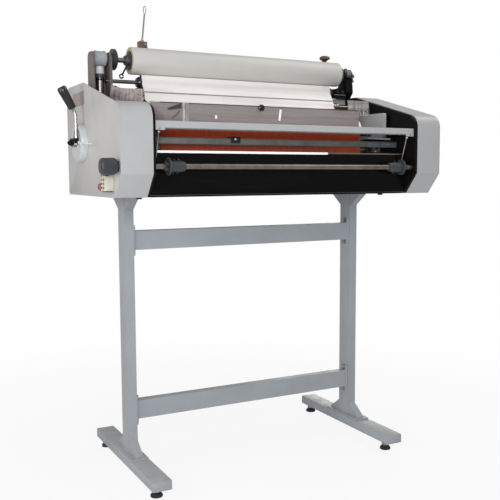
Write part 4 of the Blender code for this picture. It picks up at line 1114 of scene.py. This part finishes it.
def takeup_details():
    """The twisted eye in its clamp on the left arm, and the ball knob on the right arm."""
    low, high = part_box("wire_loop")
    base = Vector(((low.x + high.x) / 2, (low.y + high.y) / 2, low.z))
    wire = Piece("twisted_eye", "frame")
    wire.block((base.x - 0.015, low.y, low.z), (base.x + 0.013, high.y, low.z + 0.019), "maroon_metal")
    wire.turn(mm((0, 0), (6.5, 0), (5.5, 6), (0, 6.2)), (base.x - 0.001, base.y, low.z + 0.019), Z,
              "zinc", 24)
    wire.screw((base.x + 0.007, low.y, low.z + 0.01), -Y, 0.0042)
    start = Vector((base.x - 0.001, base.y, low.z + 0.02))
    end = Vector((base.x + 0.0085, base.y, high.z - 0.026))
    for phase in (0.0, math.pi):
        strand = []
        for i in range(81):
            t = i / 80
            angle = phase + t * 2 * math.pi * 7
            centre = start.lerp(end, t)
            strand.append(centre + Vector((math.cos(angle), math.sin(angle), 0.0)) * 0.0019)
        wire.tube(strand, 0.0014, "brass", 8)
    eye = Vector((end.x + 0.0008, end.y, high.z - 0.0135))
    loop = []
    for i in range(33):
        angle = -math.pi / 2 + 0.25 + (2 * math.pi - 0.5) * i / 32
        loop.append(eye + Vector((math.cos(angle) * 0.0042, 0.0, math.sin(angle) * 0.012)))
    wire.tube(loop, 0.0014, "brass", 8)
    wire.done(0.001, replaced=("wire_loop",))
    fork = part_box("takeup_fork")
    knob = Piece("takeup_knob", "frame")
    spot = Vector((fork[1].x - 0.015, (fork[0].y + fork[1].y) / 2, fork[1].z))
    knob.turn(mm((0, 0), (7.5, 0), (6.5, 3), (12, 4.8), (18, 8.5), (19.8, 13), (18, 17.8), (11.5, 21.2),
                 (0, 22.2)), spot, Z, "maroon_metal", 48)
    knob.done(0.0003)
    ends = Piece("takeup_collars", "takeup")
    axis = PIVOTS["takeup_turn"]
    arms = (fork[0].x + 0.022, fork[1].x - 0.01)
    for x, side in ((arms[0], 1), (arms[1], -1)):
        ends.turn([(0.0084, side * 0.0075), (0.0135, side * 0.0075), (0.014, side * 0.0085),
                   (0.014, side * 0.0165), (0.013, side * 0.0175), (0.0084, side * 0.0175)],
                  (x, axis.y, axis.z), X, "zinc", 32)
        ends.screw((x + side * 0.0125, axis.y, axis.z + 0.0136), Z, 0.0022, "black_plastic")
    ends.done(0.0003)


def front_shaft_details():
    """Set screws and the cotter pin of the front chucks, and the tension knob's black neck."""
    axis = PIVOTS["front_shaft_turn"]
    for node, body, side in (("front_chuck_left", "front_chuck_l", -1),
                             ("front_chuck_right", "front_chuck_r", 1)):
        low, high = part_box(node)
        outer = high.x if side > 0 else low.x
        chuck = Piece(node + "_screws", body)
        for reach in (0.017, 0.03):
            for angle in (-75.0, 105.0):
                out = radial(math.radians(angle))
                base = Vector((outer - side * reach, axis.y, axis.z)) + out * 0.015
                chuck.turn(mm((0, 0), (3.4, 0), (3.4, 4.6), (2.6, 5.4), (0, 5.4)), base, out,
                           "black_plastic", 16)
        for groove in (0.046, 0.0405):
            chuck.turn(mm((13, -0.9), (13.9, -0.6), (13.9, 0.6), (13, 0.9)),
                       (outer - side * groove, axis.y, axis.z), X, "grey_plastic", 40)
        chuck.turn(mm((23.6, 0), (24.9, 0.6), (24.9, 3), (23.6, 3.6)),
                   (outer - side * 0.0038, axis.y, axis.z), X * side, "grey_plastic", 48)
        chuck.turn(mm((8.6, 0.2), (12, 0.2), (13.2, 1.2), (13.2, 9), (12, 10), (8.6, 10)),
                   (outer, axis.y, axis.z), X * side, "grey_plastic", 40)
        chuck.bolt((outer + side * 0.0052, axis.y - 0.013, axis.z), -Y, 0.0036, "black_plastic")
        chuck.done(0.0003)
    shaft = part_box("front_chuck_right")
    pin = Piece("cotter_pin", "front_roll_shaft")
    x = shaft[1].x + 0.01
    pin.tube([(x, axis.y - 0.0125, axis.z + 0.001), (x, axis.y + 0.0125, axis.z + 0.001)], 0.0016,
             "chrome", 10)
    pin.tube(arc((x, axis.y - 0.016, axis.z + 0.001), Y, Z, 0.0038, 20, 340, 20), 0.0013, "chrome", 8)
    pin.done()
    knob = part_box("tension_knob")
    neck = Piece("knob_neck", "front_tension")
    base = (knob[1].x - 0.0003, axis.y, axis.z)
    neck.turn(mm((13, 0), (14.8, 0), (14.8, 6.2), (13, 6.2)), base, -X, "black_plastic", 40)
    neck.turn(mm((0, 47.4), (14, 47.4), (15, 48), (15, 48.8), (0, 49.2)), base, -X, "dark_plastic", 40)
    neck.done(0.0003)


# ---- front: guard, beam, bar, painted glare strip --------------------------------------------------------
def guard_details():
    """The guard's knob, painted glints of the lamps on its front, and the plates at its left end."""
    low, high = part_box("clear_guard")
    front = (low.y + high.y) / 2 - 0.0015
    left = low.x
    knob = Piece("guard_knob", "guard")
    centre = at(-0.051, 0.0, 1.1436)
    knob.turn(mm((0, 0), (6, 0), (6, 3), (9.6, 4.5), (10.4, 8.2), (9.6, 12), (6.8, 13.5), (0, 13.7)),
              (centre.x, front, centre.z), -Y, "black_plastic", 40, ribbed(8, 0.05, 0.2, 0.009))
    knob.done(0.0003)
    # Glowing white slivers on the guard's front: painted reflections of the lamps, not marks on the sheet.
    marks = Piece("guard_painted_glints", "guard")
    for x, z, wide, tall, lean in ((0.021, 1.124, 0.0062, 0.034, 7.0), (-0.197, 1.1115, 0.005, 0.01, 0.0)):
        centre = at(x, 0.0, z)
        tilt = Matrix.Rotation(math.radians(lean), 3, "Y")
        marks.block((centre.x - wide, front - 0.0006, centre.z - tall / 2),
                    (centre.x + wide * 0.1, front - 0.0001, centre.z + tall / 2), "painted_highlight_white", tilt)
    marks.done()
    bars = Piece("guard_end_bars", "guard")
    for x, finish in ((-0.303, "cream"), (-0.2925, "aluminium")):
        base = x_at(x)
        bars.block((base - 0.0042, front - 0.005, low.z + 0.0015),
                   (base + 0.0042, front - 0.0002, high.z - 0.0005), finish)
    for z in (low.z + 0.012, high.z - 0.012):
        bars.screw((x_at(-0.303), front - 0.005, z), -Y, 0.0026)
    bars.done(0.0008)
    plate = Piece("guard_end_plate", "guard")
    a, b = x_at(-0.352), x_at(-0.311)
    plate.prism([(a, front - 0.006, 1.127), (b, front - 0.006, 1.133), (b, front - 0.006, 1.147),
                 (a, front - 0.006, 1.133)], (0.0, 0.0045, 0.0), "smoke")
    plate.tube([(a + 0.012, front - 0.0075, 1.104), (b - 0.006, front - 0.0075, 1.125)], 0.0018, "chrome",
               10)
    plate.done(0.0005)
    trim = Piece("guard_top_edge", "guard")
    trim.block((left + 0.03, front - 0.0008, high.z - 0.0022),
               (high.x - 0.004, front + 0.0038, high.z + 0.0006), "smoke")
    trim.done(0.0003)


def beam_details():
    """The guard beam's end caps and stiffener, and the blocks on the feed bar."""
    low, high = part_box("guard_beam")
    caps = Piece("beam_end_caps", "frame")
    for side in (-1, 1):
        end = high.x if side > 0 else low.x
        a, b = sorted((end - side * 0.03, end - side * 0.0004))
        caps.block((a, low.y - 0.001, low.z - 0.0065), (b, low.y + 0.0014, low.z + 0.003), "cover")
        caps.screw(((a + b) / 2, low.y - 0.001, low.z - 0.002), -Y, 0.0026)
    caps.done(0.0008)
    lips = Piece("beam_stiffener", "frame")
    lips.block(near(low, 20, 12, -1.6), (high.x - 0.02, low.y + 0.029, low.z - 0.0001), "cover")
    lips.done(0.0003)
    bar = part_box("feed_bar")
    blocks = Piece("feed_bar_blocks", "frame")
    for x0, x1 in ((0.321, 0.368), (0.378, 0.429)):
        a, b = x_at(x0), x_at(x1)
        blocks.block((a, bar[0].y - 0.0016, bar[0].z + 0.001), (b, bar[0].y + 0.004, bar[1].z - 0.004),
                     "block_blue")
        blocks.screw(((a + b) / 2, bar[0].y - 0.0016, (bar[0].z + bar[1].z) / 2), -Y, 0.0032)
    wedge_y = bar[1].y
    blocks.prism([(x_at(0.34), wedge_y, 1.0568), (x_at(0.428), wedge_y, 1.0545),
                  (x_at(0.428), wedge_y, 1.061), (x_at(0.34), wedge_y, 1.059)], (0.0, 0.002, 0.0),
                 "white_plastic")
    blocks.done(0.0005)


def panel_details():
    """A glowing white strip along the front panel's top edge, a painted highlight of the glare there; the
    rails along the panel, and the screw of the edge guide's clip.
    """
    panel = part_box("front_panel")
    # Painted highlight: a glowing white strip where the panel's top fold catches the glare.
    strip = Piece("painted_glare_strip", "frame")
    top = panel[1].z
    a, b = x_at(-0.418), x_at(0.14)
    strip.block((a, panel[0].y - 0.0009, top - 0.006), (b, panel[0].y - 0.0001, top + 0.0006), "painted_highlight_white")
    strip.done()
    rail = Piece("panel_top_rail", "frame")
    rail.block((b + 0.001, panel[0].y - 0.0007, top - 0.004),
               (x_at(0.43), panel[0].y - 0.0001, top + 0.0004), "aged_steel")
    rail.block(near(panel[0], 0, -0.6, 0.2), (panel[1].x, panel[0].y - 0.0001, panel[0].z + 0.0018),
               "grey_plastic")
    rail.done(0.0002)
    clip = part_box("edge_guide")
    dot = Piece("clip_screw", "side_guide")
    spot = ((clip[0].x + clip[1].x) / 2 - 0.002, clip[0].y, clip[1].z - 0.0068)
    dot.screw(spot, -Y, 0.0036, "white_plastic")
    dot.block(near(clip[0], 1, -0.8, 1), (clip[1].x - 0.001, clip[0].y + 0.0004, clip[0].z + 0.0055),
              "black_plastic")
    dot.done(0.0004)


# ---- stand and the rest ----------------------------------------------------------------------------------
def stand_details():
    """Bolts of the cross beams and flanges, weld beads round the posts, nuts on the levelling feet."""
    bolts = Piece("beam_bolts", "frame")
    for beam in ("upper_cross_beam", "lower_cross_beam"):
        low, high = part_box(beam)
        y = (low.y + high.y) / 2
        for z in (low.z + 0.0085, high.z - 0.0085):
            bolts.bolt((high.x - 0.005, y, z), -X, 0.0066)
            bolts.bolt((low.x + 0.005, y, z), X, 0.0066)
    bolts.done(0.0003)
    nuts = Piece("leveller_nuts", "frame")
    for end in ("front", "rear"):
        for side in ("left", "right"):
            low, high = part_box("leveller_%s_%s" % (end, side))
            centre = (low + high) / 2
            nuts.turn(mm((9.9, 0), (12.5, 0.5), (12.5, 7), (9.9, 7.6)),
                      (centre.x, centre.y, high.z - 0.018), Z, "zinc", 6)
    nuts.done(0.0005)
    welds = Piece("weld_beads", "frame")
    for side in ("left", "right"):
        low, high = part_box("post_" + side)
        centre = (low + high) / 2
        half_x, half_y = 0.015, 0.03
        for z in (low.z + 0.0056, high.z - 0.0056):
            loop = []
            corners = [(-1, -1), (1, -1), (1, 1), (-1, 1), (-1, -1)]
            for (ax, ay), (bx, by) in zip(corners, corners[1:]):
                for i in range(24):
                    t = i / 24
                    wobble = 1.0 + 0.01 * noise.noise(Vector((t * 20.0, ax + 3.0, z * 9.0)))
                    loop.append(Vector((centre.x + (ax + (bx - ax) * t) * half_x * wobble,
                                        centre.y + (ay + (by - ay) * t) * half_y * wobble, z)))
            loop.append(loop[0].copy())
            widths = [0.0019 + 0.0005 * math.sin(i * 1.9) for i in range(len(loop))]
            welds.tube(loop, widths, "stand", 8, caps=False)
    welds.done()


def rear_details():
    """Rubber lips of the exit slot and a row of screws on the rear panel."""
    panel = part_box("rear_panel")
    y = panel[1].y
    slot_half = 0.385
    edge = Piece("exit_slot_trim", "frame")
    for z, direction in ((1.0276, -1), (1.0724, 1)):
        a, b = x_at(-slot_half), x_at(slot_half)
        edge.block((a, y - 0.003, min(z, z + direction * 0.005)),
                   (b, y + 0.0016, max(z, z + direction * 0.005)), "rubber")
    edge.done(0.0006)
    screws = Piece("rear_panel_screws", "frame")
    for i in range(7):
        x = x_at(-0.405 + i * 0.135)
        for z in (0.896, 1.196):
            screws.screw((x, y, z), Y, 0.004)
    screws.done(0.0002)


def fine_pieces():
    film_roll()
    film_web()
    scraps()
    dial()
    lever_details()
    electrics()
    cover_details()
    supply_details()
    bracket_details()
    hook_details()
    takeup_details()
    front_shaft_details()
    guard_details()
    beam_details()
    panel_details()
    stand_details()
    rear_details()


studio()
dress_cad()
fine_pieces()
